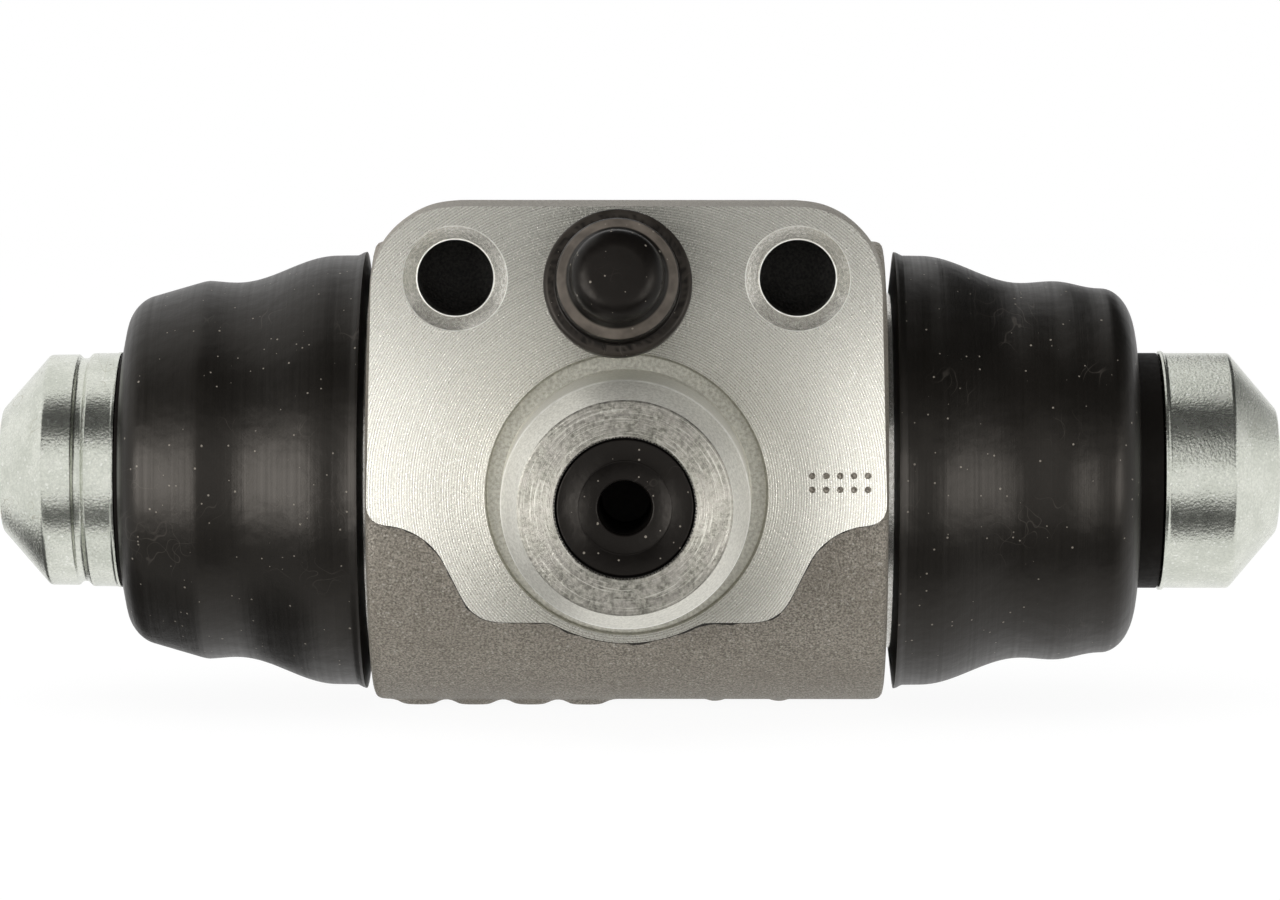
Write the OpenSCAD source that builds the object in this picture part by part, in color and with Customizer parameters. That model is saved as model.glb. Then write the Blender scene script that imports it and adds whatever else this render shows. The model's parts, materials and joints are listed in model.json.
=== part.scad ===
// Wheel cylinder of a drum brake: two opposed pistons in a cast housing.
// X runs along the bore, -Y is the outward normal of the mounting face, Z is up.
// The origin is on the mounting face, at the centre of the pilot boss.

/* [Bore and tube] */
// Bore diameter
bore_d = 15.87; // [13.5:0.01:18]
// Outside diameter of the cast tube
tube_d = 30.8; // [28:0.1:34]
// Length of the cast tube between its end faces
tube_length = 34.1; // [33.9:0.1:38]
// Rounding of the tube's end edges
tube_edge_r = 0.6; // [0.2:0.1:1.2]
// Chamfer at each mouth of the bore
bore_chamfer = 0.5; // [0.2:0.1:0.8]
// Diameter of the spigot that carries each dust boot
spigot_d = 23.8; // [22:0.1:25]
// Projection of each spigot from the tube's end face
spigot_length = 6.4; // [5.5:0.1:7.5]
// Chamfer on each spigot's outer edge
spigot_chamfer = 1; // [0.4:0.1:1.4]
// Distance from the tube's end face to the boot groove
bead_groove_start = 1.1; // [0.8:0.1:1.6]
// Width of the boot groove in the spigot
bead_groove_w = 2; // [1.4:0.1:2.6]
// Depth of the boot groove in the spigot
bead_groove_depth = 0.9; // [0.5:0.1:1.2]

/* [Mounting flange] */
// Height of the machined face above the front of the tube
face_proud = 2; // [1.4:0.1:3]
// Thickness of the flange behind the machined face
flange_thickness = 9.4; // [9:0.1:11]
// Width of the flange at its top edge
flange_top_w = 32.56; // [31:0.02:33]
// Width of the flange at its shoulders
flange_w = 33.6; // [33.1:0.02:33.8]
// Flange above the bolt centres
flange_margin = 4.65; // [4.4:0.05:6]
// Rounding of the two top corners
flange_corner_r = 5.2; // [3:0.1:6]
// Drop of the shoulders below the bore axis
shoulder_drop = 2.05; // [1:0.05:3]
// Rounding of the shoulders
shoulder_r = 1.2; // [0.6:0.1:1.6]
// Width between the feet of the shoulders
shoulder_w = 26; // [25:0.1:27.6]
// Rounding at the feet of the shoulders
shoulder_foot_r = 2.5; // [1.5:0.1:3]
// Width of the apron's lower edge
apron_w = 19.6; // [18.5:0.1:21]
// Drop of the apron's lower edge below the bore axis
apron_drop = 8.35; // [7.8:0.05:9.4]
// Rounding of the apron's lower corners
apron_r = 1.5; // [0.8:0.1:2]
// Distance between the two bolt holes
bolt_spacing = 22.1; // [21:0.1:23]
// Height of the bolt holes above the bore axis
bolt_height = 13.95; // [13.4:0.05:15]
// Core diameter of the bolt thread
bolt_core_d = 5; // [4.2:0.1:5.6]
// Depth of the tapped bolt holes
bolt_depth = 7; // [6:0.1:7.4]
// Mouth diameter of the bolt holes' chamfers
bolt_mouth_d = 6.85; // [6:0.05:7.6]

/* [Pilot boss] */
// Diameter of the pilot boss
boss_d = 15.94; // [15:0.02:16.4]
// Height of the pilot boss above the mounting face
boss_height = 9.4; // [8:0.1:12]
// Width of the boss chamfer, measured across the boss
boss_chamfer_w = 1.14; // [0.5:0.01:1.6]
// Height of the boss chamfer
boss_chamfer_h = 2.3; // [0.8:0.1:3]
// Rounding at the foot of the boss
boss_foot_r = 0.25; // [0.15:0.05:0.4]
// Width of the turned relief around the boss
relief_w = 1.12; // [0.8:0.02:1.3]
// Depth of the turned relief
relief_depth = 0.5; // [0.45:0.05:0.9]
// Rim of the apron below the relief
lobe_rim = 0.6; // [0.4:0.05:1]

/* [Brake line port] */
// Core diameter of the port thread
port_d = 8.9; // [8:0.05:9.4]
// Depth of the tapped port below the top of the boss
port_depth = 13; // [11:0.1:14]
// Diameter of the drilling from the port to the bore
port_drill_d = 2.5; // [1.6:0.1:3.4]

/* [Port plug] */
// Clearance of the plug in the port
plug_clearance = 0.06; // [0.02:0.01:0.1]
// Length of the plug
plug_length = 9; // [6:0.1:10]
// Recess of the plug below the top of the boss
plug_recess = 0.2; // [0.1:0.05:0.6]
// Rounding of the plug's edges
plug_edge_r = 0.3; // [0.1:0.05:0.5]
// Diameter of the blind hole in the plug
plug_hole_d = 3.5; // [2:0.1:5]
// Floor left under the plug's hole
plug_floor = 1.6; // [0.8:0.1:3]

/* [Bleed screw] */
// Sideways offset of the bleed screw from the boss
bleed_offset = -0.5; // [-0.8:0.1:0.8]
// Height of the bleed screw above the bore axis, at the mounting face
bleed_height = 12.95; // [12.7:0.05:13.6]
// Mean diameter of the bleed screw's thread
bleed_thread_d = 5.6; // [5:0.1:6]
// Clearance of the screw in its thread and on its seat
bleed_clearance = 0.08; // [0.04:0.01:0.1]
// Depth of the bleed thread below the mounting face
bleed_depth = 7.5; // [6.5:0.1:7.8]
// Relief of the screw's neck below its thread
bleed_neck_relief = 0.6; // [0.4:0.05:0.8]
// Length of the screw's neck
bleed_neck_length = 2; // [1.6:0.1:2.6]
// Clearance around the screw's point in the bleed drilling
bleed_point_gap = 0.35; // [0.2:0.05:0.5]
// Diameter of the bleed drilling below the seat
bleed_drill_d = 3; // [2.4:0.1:3.2]
// How far the bleed drilling breaks into the top of the bore
bleed_break_in = 0.2; // [0.1:0.05:0.5]
// Distance of the hexagon from the mounting face
hex_gap = 0.4; // [0.3:0.05:1]
// Hexagon size, across the flats
hex_af = 7; // [6:0.1:7.6]
// Length of the hexagon
hex_length = 3; // [2.4:0.1:4]
// Length of the hose nipple
nipple_length = 4.4; // [4:0.1:7]
// Diameter of the nipple's hose barb
barb_d = 4.8; // [4:0.1:5]
// Depth of the hose groove under the barb
barb_groove = 0.55; // [0.3:0.05:0.7]
// Diameter of the drilling through the screw
screw_drill_d = 1.8; // [1.2:0.1:2]
// Diameter of the cross drilling in the screw's neck
cross_drill_d = 1.4; // [1:0.1:1.6]

/* [Bleed cap] */
// Clearance of the cap on the nipple and the hexagon
cap_clearance = 0.12; // [0.05:0.01:0.2]
// Diameter of the cap's flange
cap_flange_d = 9.5; // [9:0.1:10]
// Thickness of the cap's flange
cap_flange_t = 1.2; // [0.8:0.1:1.8]
// Diameter of the cap's body
cap_body_d = 7.8; // [7.4:0.1:8.4]
// Height of the cap's body above the flange
cap_body_h = 1.5; // [1:0.1:2]
// Rounding of the flange's and body's edges
cap_edge_r = 0.3; // [0.1:0.05:0.4]
// Height of the slope between body and dome
cap_slope_h = 1; // [0.5:0.1:1.4]
// Diameter of the cap's dome
cap_dome_d = 6.1; // [5.9:0.1:6.8]
// Rounding of the dome
cap_dome_r = 1.3; // [0.8:0.1:1.8]
// Wall at the top of the dome
cap_top_wall = 1.2; // [0.8:0.1:1.8]

/* [Pistons] */
// Clearance of the pistons and seals in the bore
piston_clearance = 0.035; // [0.015:0.005:0.08]
// Length of each piston
piston_length = 30.3; // [28:0.1:32]
// Projection of the left piston's tip beyond its spigot
left_projection = 18.6; // [17:0.05:21.5]
// Projection of the right piston's tip beyond its spigot
right_projection = 20; // [18.5:0.05:22.5]
// Length of each piston's head, from its tip to the boot groove
head_length = 7.95; // [7:0.05:9]
// Length of the cone at the tip
cone_length = 3.25; // [2.5:0.05:4.5]
// Diameter of the flat on the tip
tip_d = 8.2; // [5:0.1:9]
// Width of the boot groove behind the head
neck_groove_w = 2.5; // [2.2:0.1:3]
// Depth of the boot groove behind the head
neck_groove_depth = 1.7; // [1.2:0.1:2]
// Distance of the left piston's turned line from its tip
turned_line_at = 5.6; // [5:0.1:6.4]
// Width of the turned line
turned_line_w = 0.9; // [0.5:0.1:1.2]
// Depth of the turned line
turned_line_depth = 0.3; // [0.1:0.05:0.5]
// Chamfer on the piston's inner end
piston_chamfer = 0.5; // [0.2:0.1:0.8]

/* [Seals] */
// Distance of the seal groove from the piston's inner end
seal_land = 1.3; // [1:0.1:2]
// Width of the seal groove
seal_groove_w = 3.2; // [2.6:0.1:3.8]
// Depth of the seal groove
seal_groove_depth = 1.9; // [1.4:0.1:2.2]
// Clearance of the seal in its groove
seal_clearance = 0.1; // [0.05:0.01:0.15]
// Thickness of the seal's lip
seal_lip_t = 0.6; // [0.4:0.05:0.8]

/* [Return spring] */
// Wall between the spring pocket and the seal groove
pocket_wall = 1.6; // [1.2:0.1:2]
// Depth of the spring pocket in each piston
pocket_depth = 4; // [3:0.1:6]
// Clearance of the spring in its pockets
spring_clearance = 0.3; // [0.2:0.05:0.5]
// Gap between each end of the spring and the floor of its pocket
spring_end_gap = 0.1; // [0.05:0.01:0.2]
// Wire diameter
wire_d = 0.9; // [0.6:0.05:1.1]
// Gap between the closed turn at each end and the next turn
closed_gap = 0.14; // [0.08:0.02:0.3]
// Number of turns, with the closed turn at each end
spring_turns = 11; // [8:1:13]

/* [Dust boots] */
// Clearance of the boots on their seats
boot_clearance = 0.12; // [0.05:0.01:0.2]
// Wall of the folds
boot_wall = 1.35; // [1:0.05:1.6]
// Wall of the band over the spigot
boot_band_wall = 2.4; // [2.1:0.05:2.7]
// Gap between the tube's end face and the lip of the boot's mouth
boot_stand_off = 0.55; // [0.4:0.05:0.7]
// Slant of the mouth, from the lip towards the tube
boot_mouth_slant = 0.3; // [0.1:0.05:0.35]
// Flare of the boot's lip
boot_flare = 0.25; // [0.05:0.05:0.4]
// Length of the flare
boot_flare_length = 0.7; // [0.4:0.1:1.2]
// Length of the straight band from the lip
boot_band_length = 1.9; // [1.4:0.1:2.6]
// Distance of the waist beyond the end of the spigot
boot_waist_at = 2.9; // [2.4:0.1:3.4]
// Drop from the band to the waist
boot_waist_drop = 1.82; // [1.3:0.02:2]
// Distance from the waist to the crest of the outer fold
boot_crest_at = 2.1; // [1.6:0.1:2.6]
// Rise from the waist to the crest of the outer fold
boot_crest_rise = 0.12; // [0.04:0.02:0.3]
// Drop from the crest to the start of the rounded end
boot_end_drop = 0.48; // [0.3:0.02:0.7]
// Length of the left boot's rounded end
left_round = 3.6; // [3:0.1:4.2]
// Length of the right boot's rounded end
right_round = 2.2; // [1.8:0.1:3]
// Width of the left boot's flat rim around the piston
left_rim = 0.7; // [0.4:0.05:1]
// Width of the right boot's flat rim around the piston
right_rim = 1.1; // [0.6:0.05:1.4]
// Part of the left boot's neck that shows behind the head
left_neck_show = 0.3; // [0.02:0.01:0.6]
// Part of the right boot's neck that shows behind the head
right_neck_show = 1.6; // [0.6:0.05:1.7]

/* [Cast marks] */
// Height of the plain cast marks under the tube
mark_h = 0.35; // [0.2:0.05:0.6]
// Length of each cast bar
bar_length = 2.4; // [1.6:0.1:3]
// Width of each cast bar
bar_w = 4; // [2:0.1:5]
// Distance from bar to bar
bar_pitch = 3.75; // [3.2:0.05:4]
// Number of cast bars
bar_count = 4; // [1:1:4]
// Distance of the first bar from the middle of the tube
bar_start = -14.1; // [-15:0.1:-12]
// Diameter of each cast pip
pip_d = 1.5; // [1:0.1:2]
// Distance of the first pip from the middle of the tube
pip_start = 5.8; // [4:0.1:7]
// Distance from pip to pip
pip_pitch = 4.3; // [3:0.1:5]
// Number of cast pips
pip_count = 2; // [1:1:2]

/* [Hidden] */

$fn = 96;
// Overlap of cutting shapes beyond the faces that they cut
cut = 1;
// Segments of each rounded corner
corner_steps = 6;
// Segments of each stretch of a boot's fold
fold_steps = 8;
// Half the point angle of a twist drill
drill_half_angle = 59;

bore_r = bore_d / 2;
tube_r = tube_d / 2;
tube_end = tube_length / 2;
spigot_r = spigot_d / 2;
spigot_end = tube_end + spigot_length;
bead_groove_near = tube_end + bead_groove_start;
bead_groove_far = bead_groove_near + bead_groove_w;
bead_groove_r = spigot_r - bead_groove_depth;

// The mounting face lies this far in front of the bore axis
face_d = tube_r + face_proud;
flange_top = bolt_height + flange_margin;
boss_r = boss_d / 2;
relief_r = boss_r + relief_w;
lobe_r = relief_r + lobe_rim;
port_r = port_d / 2;
port_drill_r = port_drill_d / 2;

// The bleed screw is tilted until its drilling breaks into the top of the bore
bleed_drill_r = bleed_drill_d / 2;
bleed_reach = norm([bleed_height, face_d]);
bleed_tilt = acos((bore_r + bleed_drill_r - bleed_break_in) / bleed_reach) - atan2(face_d, bleed_height);
bleed_drill_depth = face_d * cos(bleed_tilt) + bleed_height * sin(bleed_tilt) + bleed_drill_r;
bleed_hole_r = bleed_thread_d / 2;
bleed_screw_r = bleed_hole_r - bleed_clearance;
bleed_neck_r = bleed_hole_r - bleed_neck_relief;
hex_r = hex_af / 2 / cos(30);
hex_start = (hex_gap + hex_r * sin(bleed_tilt)) / cos(bleed_tilt);
hex_end = hex_start + hex_length;
nipple_end = hex_end + nipple_length;
barb_r = barb_d / 2;
screw_drill_r = screw_drill_d / 2;
cap_base = hex_end + cap_clearance;
cap_tip = nipple_end + cap_clearance + cap_top_wall;

left_tip = spigot_end + left_projection;
right_tip = spigot_end + right_projection;
piston_r = bore_r - piston_clearance;
neck_groove_r = piston_r - neck_groove_depth;
seal_groove_r = piston_r - seal_groove_depth;
pocket_r = seal_groove_r - pocket_wall;
// Radius of the tool that cuts the turned line to its width and depth
turned_line_r = (pow(turned_line_w / 2, 2) + pow(turned_line_depth, 2)) / (2 * turned_line_depth);

// Mean radius of the spring's turns
spring_r = pocket_r - spring_clearance - wire_d / 2;
// Sides of the wire and stations around each turn
wire_sides = 8;
turn_steps = 14;
closed_pitch = wire_d + closed_gap;

iron = [0.47, 0.45, 0.42];
zinc = [0.78, 0.8, 0.77];
rubber = [0.13, 0.12, 0.11];
seal_rubber = [0.09, 0.09, 0.1];
spring_steel = [0.55, 0.56, 0.58];

// A unit vector
function unit(v) = v / norm(v);

// Points of the arc that rounds the corner b between a and c with radius r
function corner_arc(a, b, c, r) =
    let (
        u = unit(a - b),
        v = unit(c - b),
        half = acos(u * v) / 2,
        centre = b + unit(u + v) * r / sin(half),
        arm = b + u * r / tan(half) - centre,
        sweep = sign(cross(-u, v)) * (180 - 2 * half)
    )
    [
        for (i = [0:corner_steps])
            let (t = sweep * i / corner_steps)
            centre + [arm.x * cos(t) - arm.y * sin(t), arm.x * sin(t) + arm.y * cos(t)]
    ];

// A closed outline from corners [x, y, rounding], where a rounding of 0 leaves a sharp corner
function rounded_outline(corners) =
    let (count = len(corners), flat = [for (p = corners) [p.x, p.y]])
    [
        for (i = [0:count - 1])
            each corners[i].z == 0
                ? [flat[i]]
                : corner_arc(flat[(i + count - 1) % count], flat[i], flat[(i + 1) % count], corners[i].z)
    ];

// The corners of one half in reverse order, mirrored in the second coordinate
function mirrored(half) = [for (i = [len(half) - 1:-1:0]) [half[i].x, -half[i].y, half[i].z]];

// Smooth step from 0 to 1
function ease(u) = (1 - cos(180 * u)) / 2;

// A profile of [radius, distance along the bore], turned about the bore axis
module around_bore() {
    translate([0, face_d, 0])
        rotate([0, 90, 0])
            rotate_extrude()
                children();
}

// Shapes drawn on the mounting face: x across, y up, z out of the face
module on_face() {
    rotate([90, 0, 0])
        children();
}

// Shapes on the bleed screw's axis, with z out of the face
module at_bleed() {
    translate([bleed_offset, 0, bleed_height])
        rotate([90 - bleed_tilt, 0, 0])
            children();
}

// A profile of [radius, distance out of the face], turned about the bleed screw's axis
module around_bleed() {
    at_bleed()
        rotate_extrude()
            children();
}

// Tube with a grooved spigot at each end
module tube() {
    half = [
        [0, spigot_end, 0],
        [spigot_r - spigot_chamfer, spigot_end, 0],
        [spigot_r, spigot_end - spigot_chamfer, 0],
        [spigot_r, bead_groove_far, 0],
        [bead_groove_r, bead_groove_far, 0],
        [bead_groove_r, bead_groove_near, 0],
        [spigot_r, bead_groove_near, 0],
        [spigot_r, tube_end, 0],
        [tube_r, tube_end, tube_edge_r]
    ];
    around_bore()
        polygon(rounded_outline(concat(half, mirrored(half))));
}

// Through bore with a chamfer at each mouth
module bore_cut() {
    half = [
        [0, spigot_end + cut, 0],
        [bore_r + bore_chamfer + cut, spigot_end + cut, 0],
        [bore_r, spigot_end - bore_chamfer, 0]
    ];
    around_bore()
        polygon(rounded_outline(concat(half, mirrored(half))));
}

// Machined pad: flange around the bolts, shoulders, apron and the lobe under the boss
module pad() {
    right = [
        [flange_top_w / 2, flange_top, flange_corner_r],
        [flange_w / 2, -shoulder_drop, shoulder_r],
        [shoulder_w / 2, -shoulder_drop, shoulder_foot_r],
        [apron_w / 2, -apron_drop, apron_r]
    ];
    left = [for (i = [len(right) - 1:-1:0]) [-right[i].x, right[i].y, right[i].z]];
    on_face()
        translate([0, 0, -flange_thickness])
            linear_extrude(flange_thickness)
                union() {
                    polygon(rounded_outline(concat(right, left)));
                    circle(r = lobe_r);
                }
}

// Turned relief around the foot of the boss
module relief_cut() {
    on_face()
        translate([0, 0, -relief_depth])
            cylinder(h = relief_depth + cut, r = relief_r);
}

// Pilot boss with a rounded foot and a chamfered top
module boss() {
    foot_out = boss_r + boss_foot_r;
    on_face()
        rotate_extrude()
            polygon(rounded_outline([
                [0, -flange_thickness, 0],
                [foot_out, -flange_thickness, 0],
                [foot_out, -relief_depth - boss_foot_r / 2, 0],
                [boss_r, -relief_depth + boss_foot_r / 2, boss_foot_r],
                [boss_r, boss_height - boss_chamfer_h, 0],
                [boss_r - boss_chamfer_w, boss_height, 0],
                [0, boss_height, 0]
            ]));
}

// Tapped blind hole for one mounting bolt
module bolt_cut() {
    core_r = bolt_core_d / 2;
    mouth_r = bolt_mouth_d / 2;
    on_face()
        rotate_extrude()
            polygon([
                [0, -bolt_depth - core_r / tan(drill_half_angle)],
                [core_r, -bolt_depth],
                [core_r, core_r - mouth_r],
                [mouth_r + cut, cut],
                [0, cut]
            ]);
}

// Tapped port with its drilling down to the bore
module port_cut() {
    floor_at = boss_height - port_depth;
    on_face()
        rotate_extrude()
            polygon([
                [0, -face_d],
                [port_drill_r, -face_d],
                [port_drill_r, floor_at - (port_r - port_drill_r) / tan(drill_half_angle)],
                [port_r, floor_at],
                [port_r, boss_height + cut],
                [0, boss_height + cut]
            ]);
}

// Tapped hole of the bleed screw, its seat and its drilling
module bleed_cut() {
    around_bleed()
        polygon([
            [0, -bleed_drill_depth],
            [bleed_drill_r, -bleed_drill_depth],
            [bleed_drill_r, -bleed_depth - bleed_hole_r + bleed_drill_r],
            [bleed_hole_r, -bleed_depth],
            [bleed_hole_r, bleed_hole_r],
            [0, bleed_hole_r]
        ]);
}

// Plain cast bars and pips under the tube
module cast_marks() {
    sunk = mark_h + cut;
    translate([0, face_d, -tube_r - mark_h]) {
        for (i = [0:bar_count - 1])
            translate([bar_start + i * bar_pitch - bar_length / 2, -bar_w / 2, 0])
                cube([bar_length, bar_w, sunk]);
        for (i = [0:pip_count - 1])
            translate([pip_start + i * pip_pitch, 0, 0])
                cylinder(h = sunk, d = pip_d);
    }
}

module housing() {
    color(iron)
        difference() {
            union() {
                tube();
                difference() {
                    pad();
                    relief_cut();
                }
                boss();
                cast_marks();
            }
            bore_cut();
            port_cut();
            bleed_cut();
            for (side = [-1, 1])
                translate([side * bolt_spacing / 2, 0, bolt_height])
                    bolt_cut();
        }
}

// One piston, with its tip at the given distance from the middle of the bore
module piston(tip, line_depth) {
    rim = tip - head_length;
    inner = tip - piston_length;
    seal_near = inner + seal_land;
    around_bore()
        difference() {
            polygon([
                [0, tip],
                [tip_d / 2, tip],
                [piston_r, tip - cone_length],
                [piston_r, rim],
                [neck_groove_r, rim],
                [neck_groove_r, rim - neck_groove_w],
                [piston_r, rim - neck_groove_w],
                [piston_r, seal_near + seal_groove_w],
                [seal_groove_r, seal_near + seal_groove_w],
                [seal_groove_r, seal_near],
                [piston_r, seal_near],
                [piston_r, inner + piston_chamfer],
                [piston_r - piston_chamfer, inner],
                [pocket_r, inner],
                [pocket_r, inner + pocket_depth],
                [0, inner + pocket_depth]
            ]);
            if (line_depth > 0)
                translate([piston_r - line_depth + turned_line_r, tip - turned_line_at])
                    circle(r = turned_line_r);
        }
}

// The same parts on the left-hand side of the bore
module to_left() {
    mirror([1, 0, 0])
        children();
}

module piston_left() {
    color(zinc)
        to_left()
            piston(left_tip, turned_line_depth);
}

module piston_right() {
    color(zinc)
        piston(right_tip, 0);
}

// Ring seal in the piston's groove, with its lip towards the pressure
module seal(tip) {
    near = tip - piston_length + seal_land + seal_clearance;
    far = near + seal_groove_w - 2 * seal_clearance;
    inside_r = seal_groove_r + seal_clearance;
    heel_r = piston_r - seal_clearance;
    lip_r = bore_r - piston_clearance;
    middle = (near + far) / 2;
    around_bore()
        polygon([
            [inside_r, far],
            [heel_r, far],
            [lip_r, near + seal_lip_t],
            [lip_r, near],
            [lip_r - seal_lip_t, near],
            [inside_r + seal_lip_t, middle],
            [inside_r, middle]
        ]);
}

module seal_left() {
    color(seal_rubber)
        to_left()
            seal(left_tip);
}

module seal_right() {
    color(seal_rubber)
        seal(right_tip);
}

// Coil of round wire between the floors of the two spring pockets
module return_spring() {
    low = -(left_tip - piston_length + pocket_depth) + wire_d / 2 + spring_end_gap;
    high = right_tip - piston_length + pocket_depth - wire_d / 2 - spring_end_gap;
    pitch = (high - low - 2 * closed_pitch) / (spring_turns - 2);
    last = spring_turns * turn_steps;
    function along(t) =
        t < 1 ? low + closed_pitch * t
        : t > spring_turns - 1 ? high - closed_pitch * (spring_turns - t)
        : low + closed_pitch + pitch * (t - 1);
    function ring(i) =
        let (a = 360 * i / turn_steps, x = along(i / turn_steps))
        [
            for (k = [0:wire_sides - 1])
                let (b = 360 * k / wire_sides, r = spring_r + wire_d / 2 * cos(b))
                [x + wire_d / 2 * sin(b), r * cos(a), r * sin(a)]
        ];
    points = [for (i = [0:last]) each ring(i)];
    sides = [
        for (i = [0:last - 1])
            for (k = [0:wire_sides - 1])
                let (
                    a = i * wire_sides + k,
                    b = i * wire_sides + (k + 1) % wire_sides
                )
                each [[a, b, b + wire_sides], [a, b + wire_sides, a + wire_sides]]
    ];
    first_end = [for (k = [wire_sides - 1:-1:0]) k];
    last_end = [for (k = [0:wire_sides - 1]) last * wire_sides + k];
    color(spring_steel)
        translate([0, face_d, 0])
            polyhedron(points, concat(sides, [first_end, last_end]));
}

// One dust boot, from the tube's end face to the groove behind the piston's head
module boot(tip, neck_show, round_length, rim_w) {
    band_r = spigot_r + boot_clearance + boot_band_wall;
    seat_r = spigot_r + boot_clearance;
    waist_r = band_r - boot_waist_drop;
    crest_r = waist_r + boot_crest_rise;
    round_r = crest_r - boot_end_drop;
    neck_r = piston_r + boot_clearance / 2;
    rim_r = neck_r + rim_w;
    mouth = tube_end + boot_stand_off;
    flare_end = mouth + boot_flare_length;
    band_end = mouth + boot_band_length;
    waist = spigot_end + boot_waist_at;
    crest = waist + boot_crest_at;
    neck_end = tip - head_length - boot_clearance / 2;
    face = neck_end - neck_show;
    round_start = face - round_length;
    neck_start = tip - head_length - neck_groove_w + boot_clearance;
    bead_r = neck_groove_r + boot_clearance;

    // Stretches of the outer wall as [start, end, start radius, end radius]
    folds = [
        [mouth, flare_end, band_r + boot_flare, band_r],
        [band_end, waist, band_r, waist_r],
        [waist, crest, waist_r, crest_r],
        [crest, round_start, crest_r, round_r]
    ];
    fold_points = [
        for (f = folds)
            for (i = [0:fold_steps - 1])
                let (u = i / fold_steps)
                [f[2] + (f[3] - f[2]) * ease(u), f[0] + (f[1] - f[0]) * u]
    ];
    end_points = [
        for (i = [0:fold_steps])
            let (a = 90 * i / fold_steps)
            [rim_r + (round_r - rim_r) * cos(a), round_start + round_length * sin(a)]
    ];
    outer = concat(fold_points, end_points);
    // The inside follows the outer wall beyond the spigot, and is straight over it
    inner = [
        for (p = outer)
            if (p.y > spigot_end && p.y < face - boot_wall)
                [p.x - boot_wall, p.y]
    ];
    inner_end = inner[len(inner) - 1];

    around_bore()
        union() {
            polygon(concat(
                outer,
                [[neck_r, face], [neck_r, face - boot_wall], [inner_end.x, face - boot_wall]],
                [for (i = [len(inner) - 1:-1:0]) inner[i]],
                [[seat_r, spigot_end], [seat_r, mouth - boot_mouth_slant]]
            ));
            translate([bead_groove_r + boot_clearance, bead_groove_near + boot_clearance])
                square([boot_band_wall, bead_groove_w - 2 * boot_clearance]);
            translate([bead_r, neck_start])
                square([neck_r - bead_r, neck_end - neck_start]);
        }
}

module boot_left() {
    color(rubber)
        to_left()
            boot(left_tip, left_neck_show, left_round, left_rim);
}

module boot_right() {
    color(rubber)
        boot(right_tip, right_neck_show, right_round, right_rim);
}

// Bleed screw with a conical seat, a hexagon, a hose nipple and its drillings
module bleed_screw() {
    seat_at = -bleed_depth + bleed_clearance;
    neck_low = seat_at - bleed_hole_r + bleed_neck_r;
    tip_r = bleed_drill_r - bleed_point_gap;
    tip_at = seat_at - bleed_hole_r + tip_r;
    neck_high = neck_low + bleed_neck_length;
    cross_at = (neck_low + neck_high) / 2;
    groove_r = barb_r - barb_groove;
    barb_at = hex_end + nipple_length / 2;
    color(zinc)
        difference() {
            union() {
                around_bleed()
                    polygon([
                        [0, tip_at],
                        [tip_r, tip_at],
                        [bleed_neck_r, neck_low],
                        [bleed_neck_r, neck_high],
                        [bleed_screw_r, neck_high],
                        [bleed_screw_r, hex_start + cut],
                        [groove_r, hex_start + cut],
                        [groove_r, barb_at - barb_groove],
                        [barb_r, barb_at],
                        [barb_r, barb_at + barb_groove],
                        [groove_r, nipple_end],
                        [0, nipple_end]
                    ]);
                at_bleed()
                    translate([0, 0, hex_start])
                        cylinder(h = hex_length, r = hex_r, $fn = 6);
            }
            around_bleed()
                polygon([
                    [0, cross_at],
                    [screw_drill_r, cross_at],
                    [screw_drill_r, nipple_end + cut],
                    [0, nipple_end + cut]
                ]);
            at_bleed()
                translate([0, 0, cross_at])
                    rotate([0, 90, 0])
                        cylinder(h = bleed_thread_d + cut, d = cross_drill_d, center = true);
        }
}

// Rubber cap over the hose nipple
module bleed_cap() {
    flange_r = cap_flange_d / 2;
    body_r = cap_body_d / 2;
    dome_r = cap_dome_d / 2;
    flange_h = cap_base + cap_flange_t;
    body_top = flange_h + cap_body_h;
    slope_top = body_top + cap_slope_h;
    inside_r = barb_r + cap_clearance;
    color(rubber)
        around_bleed()
            polygon(rounded_outline([
                [inside_r, cap_base, 0],
                [flange_r, cap_base, 0],
                [flange_r, flange_h, cap_edge_r],
                [body_r, flange_h, 0],
                [body_r, body_top, cap_edge_r],
                [dome_r, slope_top, 0],
                [dome_r, cap_tip, cap_dome_r],
                [0, cap_tip, 0],
                [0, cap_tip - cap_top_wall, 0],
                [inside_r, cap_tip - cap_top_wall, 0]
            ]));
}

// Transport plug in the brake line port
module port_plug() {
    plug_r = port_r - plug_clearance;
    top = boss_height - plug_recess;
    hole_r = plug_hole_d / 2;
    color(rubber)
        on_face()
            rotate_extrude()
                polygon(rounded_outline([
                    [0, top - plug_length, 0],
                    [plug_r, top - plug_length, plug_edge_r],
                    [plug_r, top, plug_edge_r],
                    [hole_r, top, plug_edge_r],
                    [hole_r, top - plug_length + plug_floor, 0],
                    [0, top - plug_length + plug_floor, 0]
                ]));
}

housing();
piston_left();
piston_right();
seal_left();
seal_right();
return_spring();
boot_left();
boot_right();
bleed_screw();
bleed_cap();
port_plug();
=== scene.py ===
# %% [markdown]
# # A wheel cylinder, dressed for its portrait
# The part is the hydraulic cylinder of a drum brake: a cast iron housing with one machined face, two plated
# pistons, two rubber boots, a capped bleed screw and a plugged port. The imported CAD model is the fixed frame.
# Each visible piece is modelled again here with finer edges and its own finish, in the same place.

# %% Load the frame
import json
import math

import bmesh
import bpy
import mathutils.noise
from mathutils import Matrix, Vector

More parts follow.
